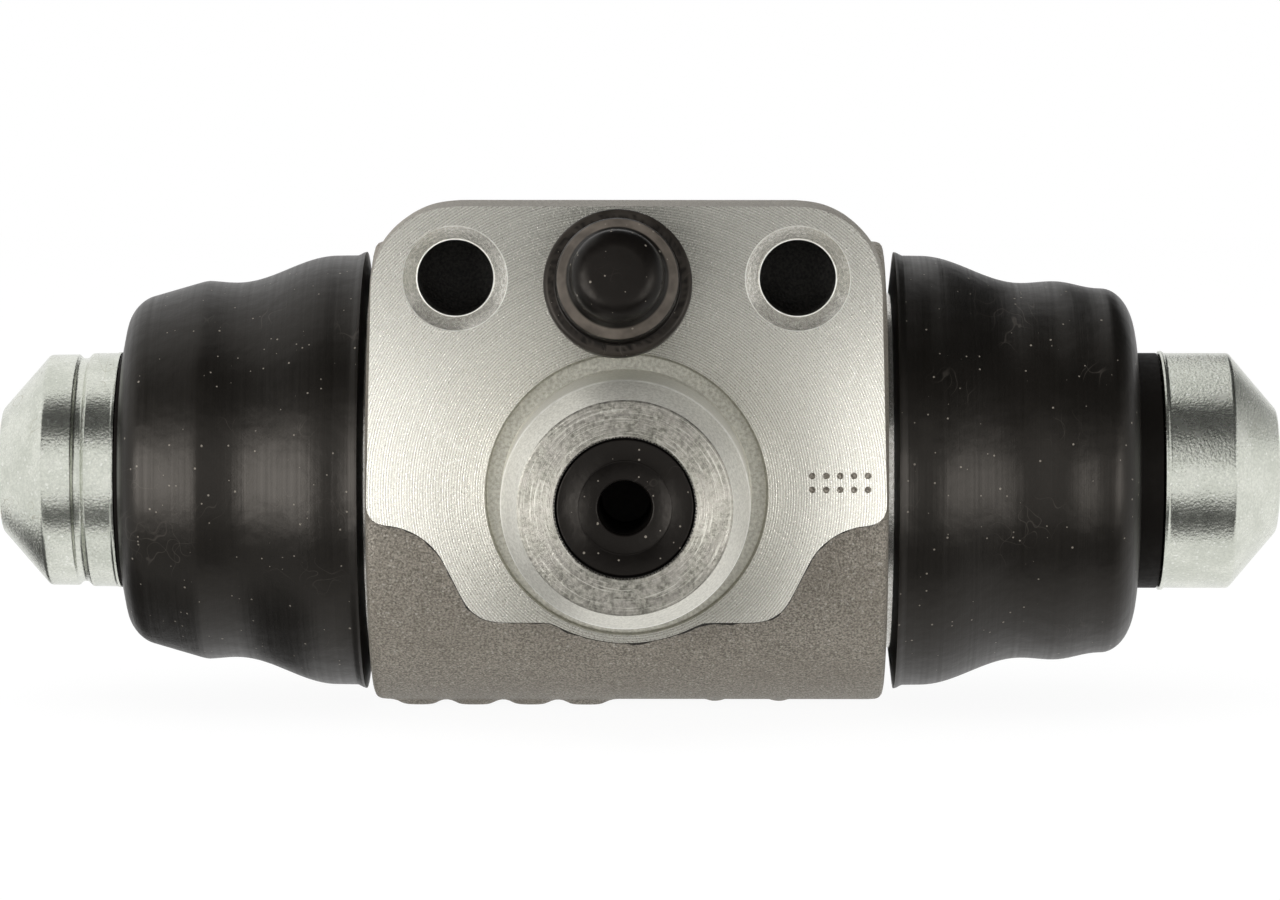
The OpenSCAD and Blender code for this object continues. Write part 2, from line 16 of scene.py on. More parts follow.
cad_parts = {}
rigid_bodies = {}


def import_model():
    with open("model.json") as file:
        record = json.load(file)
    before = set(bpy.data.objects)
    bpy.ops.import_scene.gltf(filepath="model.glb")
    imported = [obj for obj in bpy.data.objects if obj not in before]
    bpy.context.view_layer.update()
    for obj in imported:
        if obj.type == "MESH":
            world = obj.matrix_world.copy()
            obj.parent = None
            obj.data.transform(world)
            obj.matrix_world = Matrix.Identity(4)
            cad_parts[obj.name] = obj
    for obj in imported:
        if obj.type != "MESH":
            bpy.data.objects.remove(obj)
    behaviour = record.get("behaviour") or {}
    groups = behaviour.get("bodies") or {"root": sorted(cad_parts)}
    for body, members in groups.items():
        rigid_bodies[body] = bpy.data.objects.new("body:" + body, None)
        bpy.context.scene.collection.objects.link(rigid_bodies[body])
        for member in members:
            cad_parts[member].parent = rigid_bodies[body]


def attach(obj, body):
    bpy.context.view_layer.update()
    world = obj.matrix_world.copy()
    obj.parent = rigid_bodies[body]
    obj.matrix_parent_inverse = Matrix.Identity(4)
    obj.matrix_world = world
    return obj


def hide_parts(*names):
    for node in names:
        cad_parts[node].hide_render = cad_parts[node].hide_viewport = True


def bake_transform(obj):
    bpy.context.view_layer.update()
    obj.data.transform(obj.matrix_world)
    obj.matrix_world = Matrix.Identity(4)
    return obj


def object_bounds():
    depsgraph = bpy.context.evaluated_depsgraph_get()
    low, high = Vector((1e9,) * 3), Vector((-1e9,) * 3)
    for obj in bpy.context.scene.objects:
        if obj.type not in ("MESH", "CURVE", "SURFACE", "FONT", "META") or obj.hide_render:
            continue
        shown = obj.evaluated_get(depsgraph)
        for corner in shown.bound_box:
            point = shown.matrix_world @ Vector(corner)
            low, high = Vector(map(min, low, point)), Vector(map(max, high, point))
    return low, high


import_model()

cad_box = [list(corner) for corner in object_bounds()]
scene = bpy.context.scene
print("CAD box", cad_box)

# %% [markdown]
# ## The workbench
# Nearly every piece of a wheel cylinder is turned on a lathe or moulded round, so one helper does most of the
# work: a wire profile of radius and height, rounded by a vertex bevel, and spun about an axis. The bench works in
# millimetres, because bevels and merges behave better there than at a thousandth of the size. A piece is
# scaled to metres in its mesh when it is finished, so the object keeps no scale. Scaling the object instead would
# leave a scale that the export drops.

# %% Axes of the part
MM = 0.001
AXIS_Y = 17.4
BLEED_FOOT = Vector((-0.5, 0, 12.95))
BLEED_TILT = math.radians(11.4592)
BORE = Matrix.Translation((0, AXIS_Y, 0)) @ Matrix.Rotation(math.pi / 2, 4, "Y")
TO_LEFT, TO_RIGHT = Matrix.Diagonal((-1, 1, 1, 1)), Matrix.Identity(4)
FACE = Matrix.Rotation(math.pi / 2, 4, "X")
BLEED = Matrix.Translation(BLEED_FOOT) @ Matrix.Rotation(math.pi / 2 - BLEED_TILT, 4, "X")
print("bleed screw tilted by", round(math.degrees(BLEED_TILT), 2), "degrees")


# %% The lathe
def round_corners(bm, corners, segments):
    """Vertex bevels, from pairs of a corner and its radius."""
    by_radius = {}
    for vert, radius in corners:
        by_radius.setdefault(radius, []).append(vert)
    for radius, verts in by_radius.items():
        bmesh.ops.bevel(bm, geom=verts, offset=radius, offset_type="OFFSET", segments=segments, profile=0.5,
                        affect="VERTICES", material=-1, clamp_overlap=True)


def profile_wire(bm, points, closed, segments=4):
    """A wire in the XZ plane from (radius, height) or (radius, height, rounding) points."""
    verts = [bm.verts.new((p[0], 0, p[1])) for p in points]
    for a, b in zip(verts, verts[1:]):
        bm.edges.new((a, b))
    if closed:
        bm.edges.new((verts[-1], verts[0]))
    round_corners(bm, [(vert, p[2]) for vert, p in zip(verts, points) if len(p) > 2], segments)


def lathe(points, matrix, steps=160, closed=False, rounding=4):
    """A turned bmesh: the profile spun about its own Z axis, then put in its place on the part."""
    bm = bmesh.new()
    profile_wire(bm, points, closed, rounding)
    bmesh.ops.spin(bm, geom=bm.verts[:] + bm.edges[:], cent=(0, 0, 0), axis=(0, 0, 1), dvec=(0, 0, 0),
                   angle=math.tau, steps=steps, use_merge=True)
    bmesh.ops.remove_doubles(bm, verts=bm.verts, dist=1e-4)
    bmesh.ops.transform(bm, matrix=matrix, verts=bm.verts)
    bmesh.ops.recalc_face_normals(bm, faces=bm.faces)
    return bm


def bench_object(bm, name):
    """A bmesh as an object that is still in millimetres."""
    mesh = bpy.data.meshes.new(name)
    bm.to_mesh(mesh)
    bm.free()
    piece = bpy.data.objects.new(name, mesh)
    scene.collection.objects.link(piece)
    return piece


def finished(piece, materials, sharp_deg=32):
    """Scales a piece from the bench to metres, and gives it smooth shading and its finishes."""
    piece.data.transform(Matrix.Scale(MM, 4))
    piece.data.shade_smooth()
    piece.data.set_sharp_from_angle(angle=math.radians(sharp_deg))
    for material in materials:
        piece.data.materials.append(material)
    print(piece.name, len(piece.data.polygons), "faces")
    return piece


def place(piece, body, slot, *nodes):
    """The piece rides on its body and stands for CAD nodes, which it hides. The slot is not used."""
    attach(piece, body)
    if nodes:
        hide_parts(*nodes)


# %% [markdown]
# ## Shared effects
# Turning marks, casting grain, dust and scratches appear on several pieces, so each is a node group that is built
# once. A group could hold the whole shader, but the export reads the Principled BSDF only in the material itself,
# so these groups give out values and masks, and each material mixes its own colours from them.

# %% Node helpers
def add(tree, kind, inputs=None, **settings):
    """One node with its settings, where each input is a value or another node's socket."""
    made = tree.nodes.new(kind)
    for key, value in settings.items():
        setattr(made, key, value)
    for key, value in (inputs or {}).items():
        if isinstance(value, bpy.types.NodeSocket):
            tree.links.new(value, made.inputs[key])
        else:
            made.inputs[key].default_value = value
    return made


def math_node(tree, operation, a, b=0.0, clamp=False):
    return add(tree, "ShaderNodeMath", {0: a, 1: b}, operation=operation, use_clamp=clamp).outputs[0]


def times(tree, a, b):
    return math_node(tree, "MULTIPLY", a, b)


def plus(tree, a, b):
    return math_node(tree, "ADD", a, b)


def ramp(tree, value, low, high, out_low=0.0, out_high=1.0):
    """Smooth step of a value from one range to another."""
    return add(tree, "ShaderNodeMapRange", {"Value": value, "From Min": low, "From Max": high, "To Min": out_low,
                                            "To Max": out_high}, interpolation_type="SMOOTHSTEP").outputs[0]


def mix(tree, factor, a, b):
    """Mix of two colours."""
    node = add(tree, "ShaderNodeMix", {0: factor}, data_type="RGBA", blend_type="MIX")
    for index, value in ((6, a), (7, b)):
        if isinstance(value, bpy.types.NodeSocket):
            tree.links.new(value, node.inputs[index])
        else:
            node.inputs[index].default_value = (*value, 1)
    return node.outputs[2]


def noise(tree, vector, scale, detail=3.0, rough=0.5):
    return add(tree, "ShaderNodeTexNoise", {"Vector": vector, "Scale": scale, "Detail": detail,
                                            "Roughness": rough}).outputs["Fac"]


def stretched(tree, vector, scale):
    """Position scaled by different amounts along X, Y and Z."""
    return add(tree, "ShaderNodeVectorMath", {0: vector, 1: scale}, operation="MULTIPLY").outputs[0]


def effect(name, inputs, outputs):
    """An empty node group with a vector and float inputs, and float outputs."""
    tree = bpy.data.node_groups.new(name, "ShaderNodeTree")
    tree.interface.new_socket("Vector", in_out="INPUT", socket_type="NodeSocketVector")
    for label, value in inputs.items():
        tree.interface.new_socket(label, in_out="INPUT", socket_type="NodeSocketFloat").default_value = value
    for label in outputs:
        tree.interface.new_socket(label, in_out="OUTPUT", socket_type="NodeSocketFloat")
    return tree, tree.nodes.new("NodeGroupInput").outputs, tree.nodes.new("NodeGroupOutput").inputs


def use(tree, group, vector, **values):
    """A group placed in a material with its own values."""
    node = add(tree, "ShaderNodeGroup", node_tree=group)
    tree.links.new(vector, node.inputs["Vector"])
    for label, value in values.items():
        node.inputs[label].default_value = value
    return node.outputs


# %% [markdown]
# **Turning marks.** A facing tool leaves one fine spiral, which looks like rings about the spindle. The eye sees
# rings about a sixth of a millimetre apart. Finer grooves between them are too small to see one by one, but they
# throw the light outwards and inwards, so a faced surface is bright beside the spindle, where it finds the side
# lights, and dull above it. A roughness alone would spread the light evenly, so both are in the bump. Handling adds
# arcs that run only part of the way round: noise over radius and angle.

# %% Turning marks
turning, given, out = effect("turning_marks", {"Pitch": 0.00017, "Flank": 0.1, "Groove": 0.000003},
                             ["Height", "Tone", "Arcs"])
GROOVES_PER_RING = 2.17
flat = stretched(turning, given["Vector"], (1, 0, 1))
radius = add(turning, "ShaderNodeVectorMath", {0: flat}, operation="LENGTH").outputs["Value"]
drift = times(turning, noise(turning, given["Vector"], 90, 1), 0.0001)
turns = math_node(turning, "DIVIDE", plus(turning, radius, drift), given["Pitch"])
ring = math_node(turning, "SINE", times(turning, turns, math.tau))
groove = math_node(turning, "SINE", times(turning, turns, GROOVES_PER_RING * math.tau))
uneven = add(turning, "ShaderNodeTexNoise", {"W": turns, "Scale": 0.3, "Detail": 3.0},
             noise_dimensions="1D").outputs["Fac"]
depth = times(turning, ring, plus(turning, uneven, 0.2))
both = plus(turning, groove, times(turning, depth, 0.8))
flank = times(turning, radius, given["Flank"])
cut_depth = times(turning, both, given["Groove"])
turning.links.new(plus(turning, flank, cut_depth), out["Height"])
turning.links.new(plus(turning, times(turning, depth, 0.5), 0.5), out["Tone"])
parts = add(turning, "ShaderNodeSeparateXYZ", {0: given["Vector"]}).outputs
angle = math_node(turning, "ARCTAN2", parts[2], parts[0])
polar = add(turning, "ShaderNodeCombineXYZ", {0: turns, 1: times(turning, angle, 1.6)}).outputs[0]
turning.links.new(noise(turning, polar, 0.9, 3, 0.6), out["Arcs"])
print("group", turning.name)

# %% [markdown]
# **Casting grain.** Sand moulds leave a skin of grains about a fifth of a millimetre wide. Cell noise gives the
# grains, and soft noise breaks their evenness. The grain is too fine to be modelled, so it feeds a bump.

# %% Casting grain
grain, given, out = effect("casting_grain", {"Scale": 4500}, ["Height", "Tone", "Painted_Glint"])
cells = add(grain, "ShaderNodeTexVoronoi", {"Vector": given["Vector"], "Scale": given["Scale"], "Randomness": 1.0,
                                            "Smoothness": 0.6}, feature="SMOOTH_F1")
fine = noise(grain, given["Vector"], given["Scale"], 4.0, 0.65)
lump = math_node(grain, "SUBTRACT", 1.0, cells.outputs["Distance"])
grain.links.new(plus(grain, times(grain, lump, 0.6), fine), out["Height"])
grain.links.new(ramp(grain, fine, 0.3, 0.7), out["Tone"])
# Painted glint: a few grains are picked out here to be painted pale, whichever way they face.
grain.links.new(ramp(grain, cells.outputs["Color"], 0.72, 0.9), out["Painted_Glint"])
print("group", grain.name)

# %% [markdown]
# **Dust and scratches.** Stored rubber collects pale specks, and handled metal has a few fine lines. Specks are
# the middles of scattered cells. Scratches are soft noise pulled out along one direction and cut to thin lines.

# %% Dust and scratches
dust, given, out = effect("dust_specks", {"Scale": 700, "Amount": 0.2}, ["Mask"])
spots = add(dust, "ShaderNodeTexVoronoi", {"Vector": given["Vector"], "Scale": given["Scale"], "Randomness": 1.0},
            feature="F1")
chosen = add(dust, "ShaderNodeSeparateColor", {0: spots.outputs["Color"]}).outputs[0]
size = times(dust, math_node(dust, "SUBTRACT", given["Amount"], chosen), 0.6)
speck = math_node(dust, "MULTIPLY", math_node(dust, "SUBTRACT", size, spots.outputs["Distance"]), 40, clamp=True)
dust.links.new(speck, out["Mask"])

scratch, given, out = effect("fine_scratches", {"Scale": 400, "Amount": 0.1}, ["Mask"])
lines = []
for turn, pull in ((0.7, 0.06), (-0.4, 0.05), (1.9, 0.08)):
    turned = add(scratch, "ShaderNodeMapping", {"Vector": given["Vector"], "Rotation": (turn, turn * 2, turn * 3),
                                                "Scale": (1, pull, 1)}).outputs[0]
    field = noise(scratch, turned, given["Scale"], 1.0)
    near = math_node(scratch, "ABSOLUTE", math_node(scratch, "SUBTRACT", field, 0.5))
    lines.append(ramp(scratch, near, 0.0, 0.006, 1.0, 0.0))
patchy = ramp(scratch, noise(scratch, given["Vector"], 220, 1), 0.55, 0.7)
most = math_node(scratch, "MAXIMUM", math_node(scratch, "MAXIMUM", lines[0], lines[1]), lines[2])
scratch.links.new(times(scratch, times(scratch, most, patchy), given["Amount"]), out["Mask"])
print("groups", dust.name, scratch.name)


# %% [markdown]
# ## Finishes
# Every finish starts from the same few nodes: Object coordinates, which stay put because each piece sits at the
# origin, and one Principled BSDF with a bump. A helper lays those out, and each finish adds what makes it itself.

# %% A new finish
def finish(name, roughness, metallic, specular=0.5):
    """A material with its node tree, its position socket and its Principled BSDF."""
    material = bpy.data.materials.new(name)
    material.use_nodes = True
    tree = material.node_tree
    shader = tree.nodes["Principled BSDF"]
    shader.inputs["Roughness"].default_value = roughness
    shader.inputs["Metallic"].default_value = metallic
    shader.inputs["Specular IOR Level"].default_value = specular
    where = tree.nodes.new("ShaderNodeTexCoord").outputs["Object"]
    return material, tree, where, shader


def bump(tree, shader, height, distance):
    relief = add(tree, "ShaderNodeBump", {"Height": height, "Distance": distance, "Strength": 1.0})
    tree.links.new(relief.outputs[0], shader.inputs["Normal"])


# %% [markdown]
# ** Cast iron, as cast and machined.** The skin of the casting is a brownish grey with sparkling grains, and the
# sparkle is a painted glint: a few grains are paler in its colour. The mounting face and the boss are the same iron,
# cut bright, with turning marks about the boss. The relief at the foot of the boss is duller and the chamfers are
# pale. Handled edges are worn to a bright line, which is partly a painted highlight, and the tapped holes are
# painted near-black, a painted shade in their depth. One material with masks could hold it all, but each cut ends
# at an edge of the mesh, so each is a material of its own, and every face takes one of them.

# %% Cast skin
cast_skin, tree, where, shader = finish("cast_skin", 0.55, 0.4)
marks = use(tree, grain, where, Scale=7000)
broad = noise(tree, where, 160, 2)
tone = mix(tree, marks["Tone"], (0.115, 0.103, 0.082), (0.46, 0.42, 0.355))
tone = mix(tree, ramp(tree, broad, 0.35, 0.7, 0.0, 0.25), tone, (0.2, 0.176, 0.14))
# Painted glint: pale grains mixed into the skin's colour.
tone = mix(tree, times(tree, marks["Painted_Glint"], 0.4), tone, (0.72, 0.68, 0.62))
tree.links.new(tone, shader.inputs["Base Color"])
bump(tree, shader, marks["Height"], 0.00006)
print("finish", cast_skin.name)

# %% Faced iron
faced_iron, tree, where, shader = finish("faced_iron", 0.36, 0.9)
rings = use(tree, turning, where, Pitch=0.00017, Flank=0.07, Groove=0.0000042)
marks = use(tree, grain, where, Scale=6500)
lines = use(tree, scratch, where, Scale=260, Amount=0.2)
spots = use(tree, dust, where, Scale=420, Amount=0.04)
tone = mix(tree, rings["Tone"], (0.295, 0.286, 0.253), (0.57, 0.559, 0.509))
tone = mix(tree, times(tree, marks["Tone"], 0.16), tone, (0.42, 0.4, 0.36))
tone = mix(tree, lines["Mask"], tone, (0.78, 0.77, 0.74))
tone = mix(tree, times(tree, spots["Mask"], 0.5), tone, (0.3, 0.28, 0.25))
tree.links.new(tone, shader.inputs["Base Color"])
tree.links.new(ramp(tree, marks["Tone"], 0.0, 1.0, 0.25, 0.36), shader.inputs["Roughness"])
height = plus(tree, rings["Height"], times(tree, marks["Height"], 0.000016))
bump(tree, shader, height, 1.0)
print("finish", faced_iron.name)

# %% Turned boss
turned_iron, tree, where, shader = finish("turned_iron", 0.4, 0.9)
rings = use(tree, turning, where, Pitch=0.00013, Flank=0.0, Groove=0.000003)
marks = use(tree, grain, where, Scale=4200)
mottle = noise(tree, where, 900, 3, 0.6)
tone = mix(tree, marks["Tone"], (0.135, 0.13, 0.109), (0.385, 0.373, 0.324))
tone = mix(tree, ramp(tree, mottle, 0.4, 0.65, 0.0, 0.4), tone, (0.4, 0.375, 0.34))
tone = mix(tree, ramp(tree, rings["Arcs"], 0.52, 0.68, 0.0, 0.6), tone, (0.2, 0.19, 0.17))
tone = mix(tree, ramp(tree, rings["Arcs"], 0.46, 0.36, 0.0, 0.5), tone, (0.6, 0.58, 0.52))
rust = use(tree, dust, where, Scale=260, Amount=0.05)
tone = mix(tree, rust["Mask"], tone, (0.36, 0.17, 0.04))
tree.links.new(tone, shader.inputs["Base Color"])
tree.links.new(ramp(tree, marks["Tone"], 0.0, 1.0, 0.32, 0.48), shader.inputs["Roughness"])
height = plus(tree, rings["Height"], times(tree, marks["Height"], 0.00003))
bump(tree, shader, height, 1.0)
print("finish", turned_iron.name)


# %% Relief, chamfers, worn edges with a painted highlight, bores and holes in painted shade
def grainy_iron(name, roughness, metallic, scale, dull, bright, relief=0.0, spread=None, specular=0.5):
    """Iron whose grain mixes two tones, with a bump and a spread of roughness where they are given."""
    material, tree, where, shader = finish(name, roughness, metallic, specular)
    marks = use(tree, grain, where, Scale=scale)
    tree.links.new(mix(tree, marks["Tone"], dull, bright), shader.inputs["Base Color"])
    if spread:
        tree.links.new(ramp(tree, marks["Tone"], 0.0, 1.0, *spread), shader.inputs["Roughness"])
    if relief:
        bump(tree, shader, marks["Height"], relief)
    print("finish", name)
    return material


relief_iron = grainy_iron("relief_iron", 0.42, 0.8, 4200, (0.31, 0.302, 0.262), (0.5, 0.489, 0.43), 0.00002)
bright_cut = grainy_iron("bright_cut", 0.45, 0.6, 5200, (0.6, 0.585, 0.52), (0.8, 0.785, 0.715), 0.00002, (0.4, 0.52))
# Worn edges: partly wear, and their pale colour is partly a painted highlight.
worn_edge_highlight = grainy_iron("worn_edge_highlight", 0.38, 0.5, 2400, (0.74, 0.73, 0.67), (0.92, 0.91, 0.86), spread=(0.3, 0.45))
drilled_iron = grainy_iron("drilled_iron", 0.27, 0.9, 5000, (0.56, 0.545, 0.5), (0.88, 0.865, 0.81), 0.00001)
# Painted shade: near-black iron for the insides of the holes, their threads and the burr.
painted_shade_iron = grainy_iron("painted_shade_iron", 0.5, 0.3, 5000, (0.012, 0.011, 0.01), (0.05, 0.046, 0.04), 0.00003,
                         specular=0.3)

# %% [markdown]
# ** Zinc plating.** The pistons and the bleed screw are plated: pale silver with a green cast. Its crystals are a
# tenth of a millimetre wide and lean every way, so the plating looks smooth under even light and mottled where the
# light changes. Most of that is a bump. Some is colour: a few crystals are dull, and a few are painted pale, a
# painted glint that shows whichever way they lean. Scratches and stains lie over both.

# %% Zinc plating
zinc, tree, where, shader = finish("zinc_plating", 0.22, 1.0)
patches = noise(tree, where, 420, 4, 0.6)
crystals = use(tree, grain, where, Scale=5600)
lines = use(tree, scratch, where, Scale=520, Amount=0.8)
stains = use(tree, dust, where, Scale=1300, Amount=0.24)
tone = mix(tree, ramp(tree, patches, 0.3, 0.7), (0.63, 0.65, 0.575), (0.79, 0.805, 0.725))
tone = mix(tree, times(tree, crystals["Tone"], 0.4), tone, (0.4, 0.415, 0.38))
# Painted glint: a few crystals are painted pale.
tone = mix(tree, times(tree, crystals["Painted_Glint"], 0.5), tone, (0.9, 0.91, 0.86))
tone = mix(tree, lines["Mask"], tone, (0.45, 0.44, 0.36))
tone = mix(tree, times(tree, stains["Mask"], 0.6), tone, (0.25, 0.24, 0.19))
tree.links.new(tone, shader.inputs["Base Color"])
tree.links.new(ramp(tree, patches, 0.3, 0.7, 0.2, 0.29), shader.inputs["Roughness"])
bump(tree, shader, crystals["Height"], 0.000015)
print("finish", zinc.name)

# %% [markdown]
# ** Rubber.** The boots, the cap and the plug are moulded in black rubber. It isn't quite black: a brown bloom and
# dust lie on it, and fine crinkles break its highlights. The boots have moulding lines that run round them. Where
# dust lies and where a sheen is painted paler is a value that a mesh can carry, because it depends on the shape.

# %% Rubber
def rubber_finish(name, base, bloom, roughness, shine, specks, moulding):
    """Black rubber from its two tones, with an amount of dust specks and a height of moulding lines."""
    material, tree, where, shader = finish(name, roughness, 0.0, shine)
    shader.inputs["Specular Tint"].default_value = (1, 0.92, 0.83, 1)
    cloud = noise(tree, where, 130, 4, 0.6)
    crinkle = noise(tree, stretched(tree, where, (1, 0.9, 0.8)), 3000, 3, 0.55)
    sway = noise(tree, where, 700, 1)
    tone = mix(tree, ramp(tree, cloud, 0.35, 0.75, 0.0, 0.7), base, bloom)
    motes = use(tree, dust, where, Scale=2300, Amount=specks)
    fibres = use(tree, scratch, where, Scale=420, Amount=0.25)
    tone = mix(tree, times(tree, motes["Mask"], 0.4), tone, (0.5, 0.45, 0.38))
    tone = mix(tree, times(tree, fibres["Mask"], specks), tone, (0.35, 0.31, 0.27))
    # A painted sheen on the cap's slope ring and dust on its flange, carried by the mesh.
    sheen_and_dust_mask = add(tree, "ShaderNodeAttribute", attribute_name="dust_and_sheen").outputs["Fac"]
    dust_and_sheen_patches = ramp(tree, noise(tree, where, 420, 3, 0.6), 0.3, 0.7, 0.4, 1.0)
    tone = mix(tree, times(tree, sheen_and_dust_mask, dust_and_sheen_patches), tone, (0.2, 0.171, 0.143))
    tree.links.new(tone, shader.inputs["Base Color"])
    height = plus(tree, crinkle, times(tree, sway, 4.0))
    sheen = crinkle
    if moulding:
        along = add(tree, "ShaderNodeSeparateXYZ", {0: where}).outputs[0]
        seam = add(tree, "ShaderNodeTexNoise", {"W": along, "Scale": 3500.0, "Detail": 3.0},
                   noise_dimensions="1D").outputs["Fac"]
        height = plus(tree, height, times(tree, seam, moulding))
        sheen = times(tree, plus(tree, seam, cloud), 0.5)
    tree.links.new(ramp(tree, sheen, 0.3, 0.7, roughness - 0.04, roughness + 0.04), shader.inputs["Roughness"])
    bump(tree, shader, height, 0.000011)
    print("finish", name)
    return material


boot_rubber = rubber_finish("boot_rubber", (0.0026, 0.0022, 0.0017), (0.0056, 0.0047, 0.0038), 0.4, 0.35, 0.32, 0.9)
collar_rubber = rubber_finish("collar_rubber", (0.004, 0.0034, 0.003), (0.006, 0.005, 0.0044), 0.6, 0.12, 0.02, 0)
cap_rubber = rubber_finish("cap_rubber", (0.0032, 0.0026, 0.0023), (0.0064, 0.0054, 0.0047), 0.36, 0.16, 0.36, 0)
seal_rubber = rubber_finish("seal_rubber", (0.012, 0.012, 0.012), (0.02, 0.02, 0.02), 0.35, 0.5, 0.0, 0)

# %% [markdown]
# **Spring wire.** Drawn wire is streaky grey. The spring is hidden in the bore, where a bump would be lost, so noise
# in its colour and roughness is enough.

# %% Spring wire
spring_wire, tree, where, shader = finish("spring_wire", 0.35, 1.0)
drawn = noise(tree, where, 3000, 3)
tree.links.new(mix(tree, drawn, (0.28, 0.28, 0.29), (0.5, 0.5, 0.5)), shader.inputs["Base Color"])
tree.links.new(ramp(tree, drawn, 0.3, 0.7, 0.28, 0.42), shader.inputs["Roughness"])
print("finish", spring_wire.name)

# %% [markdown]
# ## The housing
# The real housing is a sand casting that is then machined, and it is made here in the same order. The blank is a
# tube, a drafted flange and a lobe that overlap. One union would leave knife edges where they meet. A voxel
# remesh and some smoothing give the soft cast fillets instead. Then the machinist's cuts are Booleans. They leave
# slivers without any area, so the last step on the bench is to deburr the mesh.

# %% Values of the casting
TUBE_R, TUBE_END = 15.4, 17.05
FLANGE_TOP, FLANGE_BACK = 18.6, 9.4
BOSS_R, BOSS_H = 7.97, 9.4
RELIEF_R, RELIEF_D, LOBE_R = 9.09, 0.5, 9.69
BOLT_X, BOLT_Z = 11.05, 13.95
SPIGOT_R, SPIGOT_GROOVE_R, SPIGOT_END = 11.9, 11, 23.45
BORE_R, PORT_R, BLEED_R = 7.935, 4.45, 2.8
TAP_R, CORE_R, SINK_R = 2.95, 2.5, 3.425
PAD_CORNERS = [(16.28, FLANGE_TOP, 5.2), (16.8, -2.05, 1.2), (13.0, -2.05, 2.5), (9.8, -8.35, 1.5)]
PAD_DRAFT = ((5.5, 1.022), (FLANGE_BACK - 4.5, 0.99))
VOXEL, SMOOTH_PASSES, SLIVER = 0.3, 6, 0.001
print("bolts", 2 * BOLT_X, "mm apart")


# %% The blank
def pad_blank(bm):
    """The flange's outline with rounded corners, pulled back in steps that follow the mould's draft."""
    corners = PAD_CORNERS + [(-x, z, r) for x, z, r in reversed(PAD_CORNERS)]
    verts = [bm.verts.new((x, -1, z)) for x, z, r in corners]
    bm.faces.new(verts)
    round_corners(bm, [(vert, corner[2]) for vert, corner in zip(verts, corners)], 8)
    front = bm.faces[:]
    for back, widen in PAD_DRAFT:
        pulled = bmesh.ops.extrude_face_region(bm, geom=front)["geom"]
        front = [g for g in pulled if isinstance(g, bmesh.types.BMFace)]
        ring = [g for g in pulled if isinstance(g, bmesh.types.BMVert)]
        bmesh.ops.translate(bm, verts=ring, vec=(0, back, 0))
        bmesh.ops.scale(bm, verts=ring, vec=(widen, 1, 1))


blank = bmesh.new()
pad_blank(blank)
lobe = bmesh.ops.create_cone(blank, cap_ends=True, segments=128, radius1=LOBE_R + 0.3, radius2=LOBE_R - 0.05,
                             depth=10)
bmesh.ops.transform(blank, matrix=FACE @ Matrix.Translation((0, 0, -4)), verts=lobe["verts"])
barrel = bmesh.ops.create_cone(blank, cap_ends=True, segments=200, radius1=TUBE_R, radius2=TUBE_R,
                               depth=2 * TUBE_END)
bmesh.ops.transform(blank, matrix=BORE, verts=barrel["verts"])
for i in range(4):
    bar = bmesh.ops.create_cube(blank, size=1)["verts"]
    bmesh.ops.scale(blank, verts=bar, vec=(2.4, 4, 2))
    bmesh.ops.translate(blank, verts=bar, vec=(-14.1 + 3.75 * i, AXIS_Y, -TUBE_R + 0.66))
for i in range(2):
    pip = bmesh.ops.create_uvsphere(blank, u_segments=24, v_segments=16, radius=0.95)["verts"]
    bmesh.ops.translate(blank, verts=pip, vec=(5.8 + 4.3 * i, AXIS_Y, -TUBE_R + 0.6))
bmesh.ops.recalc_face_normals(blank, faces=blank.faces)
casting = bench_object(blank, "housing_casting")
print("blank", len(casting.data.polygons), "faces")


# %% Cast fillets
def apply_modifiers(piece):
    """Replaces the piece's mesh by what its modifiers make of it."""
    graph = bpy.context.evaluated_depsgraph_get()
    mesh = bpy.data.meshes.new_from_object(piece.evaluated_get(graph))
    piece.modifiers.clear()
    piece.data = mesh


remesh = casting.modifiers.new("sand mould", "REMESH")
remesh.mode, remesh.voxel_size, remesh.adaptivity = "VOXEL", VOXEL, 0.0
apply_modifiers(casting)
soft = bmesh.new()
soft.from_mesh(casting.data)
for _ in range(SMOOTH_PASSES):
    bmesh.ops.smooth_vert(soft, verts=soft.verts, factor=0.5, use_axis_x=True, use_axis_y=True, use_axis_z=True)
soft.to_mesh(casting.data)
soft.free()
print("casting", len(casting.data.polygons), "faces")


# %% The machining
def machine(piece, tool_bm, operation="DIFFERENCE"):
    """One cut, or one joined piece, by a Boolean with a tool that is thrown away afterwards."""
    tool = bench_object(tool_bm, "tool")
    cut = piece.modifiers.new("cut", "BOOLEAN")
    cut.solver, cut.operation, cut.object = "MANIFOLD", operation, tool
    apply_modifiers(piece)
    bpy.data.objects.remove(tool)


# %% Face, relief and boss
facing = bmesh.new()
slab = bmesh.ops.create_cube(facing, size=1)["verts"]
bmesh.ops.scale(facing, verts=slab, vec=(60, 6, 60))
bmesh.ops.translate(facing, verts=slab, vec=(0, -3, 0))
machine(casting, facing)
machine(casting, lathe([(0, -RELIEF_D), (RELIEF_R, -RELIEF_D, 0.12), (RELIEF_R, -0.08), (RELIEF_R + 0.1, 0.02),
                        (RELIEF_R + 0.1, 1), (0, 1)], FACE, 192))
machine(casting, lathe([(0, -8), (BOSS_R + 0.25, -8), (BOSS_R + 0.25, -RELIEF_D - 0.125),
                        (BOSS_R, -RELIEF_D + 0.125, 0.25), (BOSS_R, BOSS_H - 2.3, 0.2),
                        (BOSS_R - 1.14, BOSS_H, 0.14), (0, BOSS_H)], FACE, 192), "UNION")
print("faced", len(casting.data.polygons), "faces")

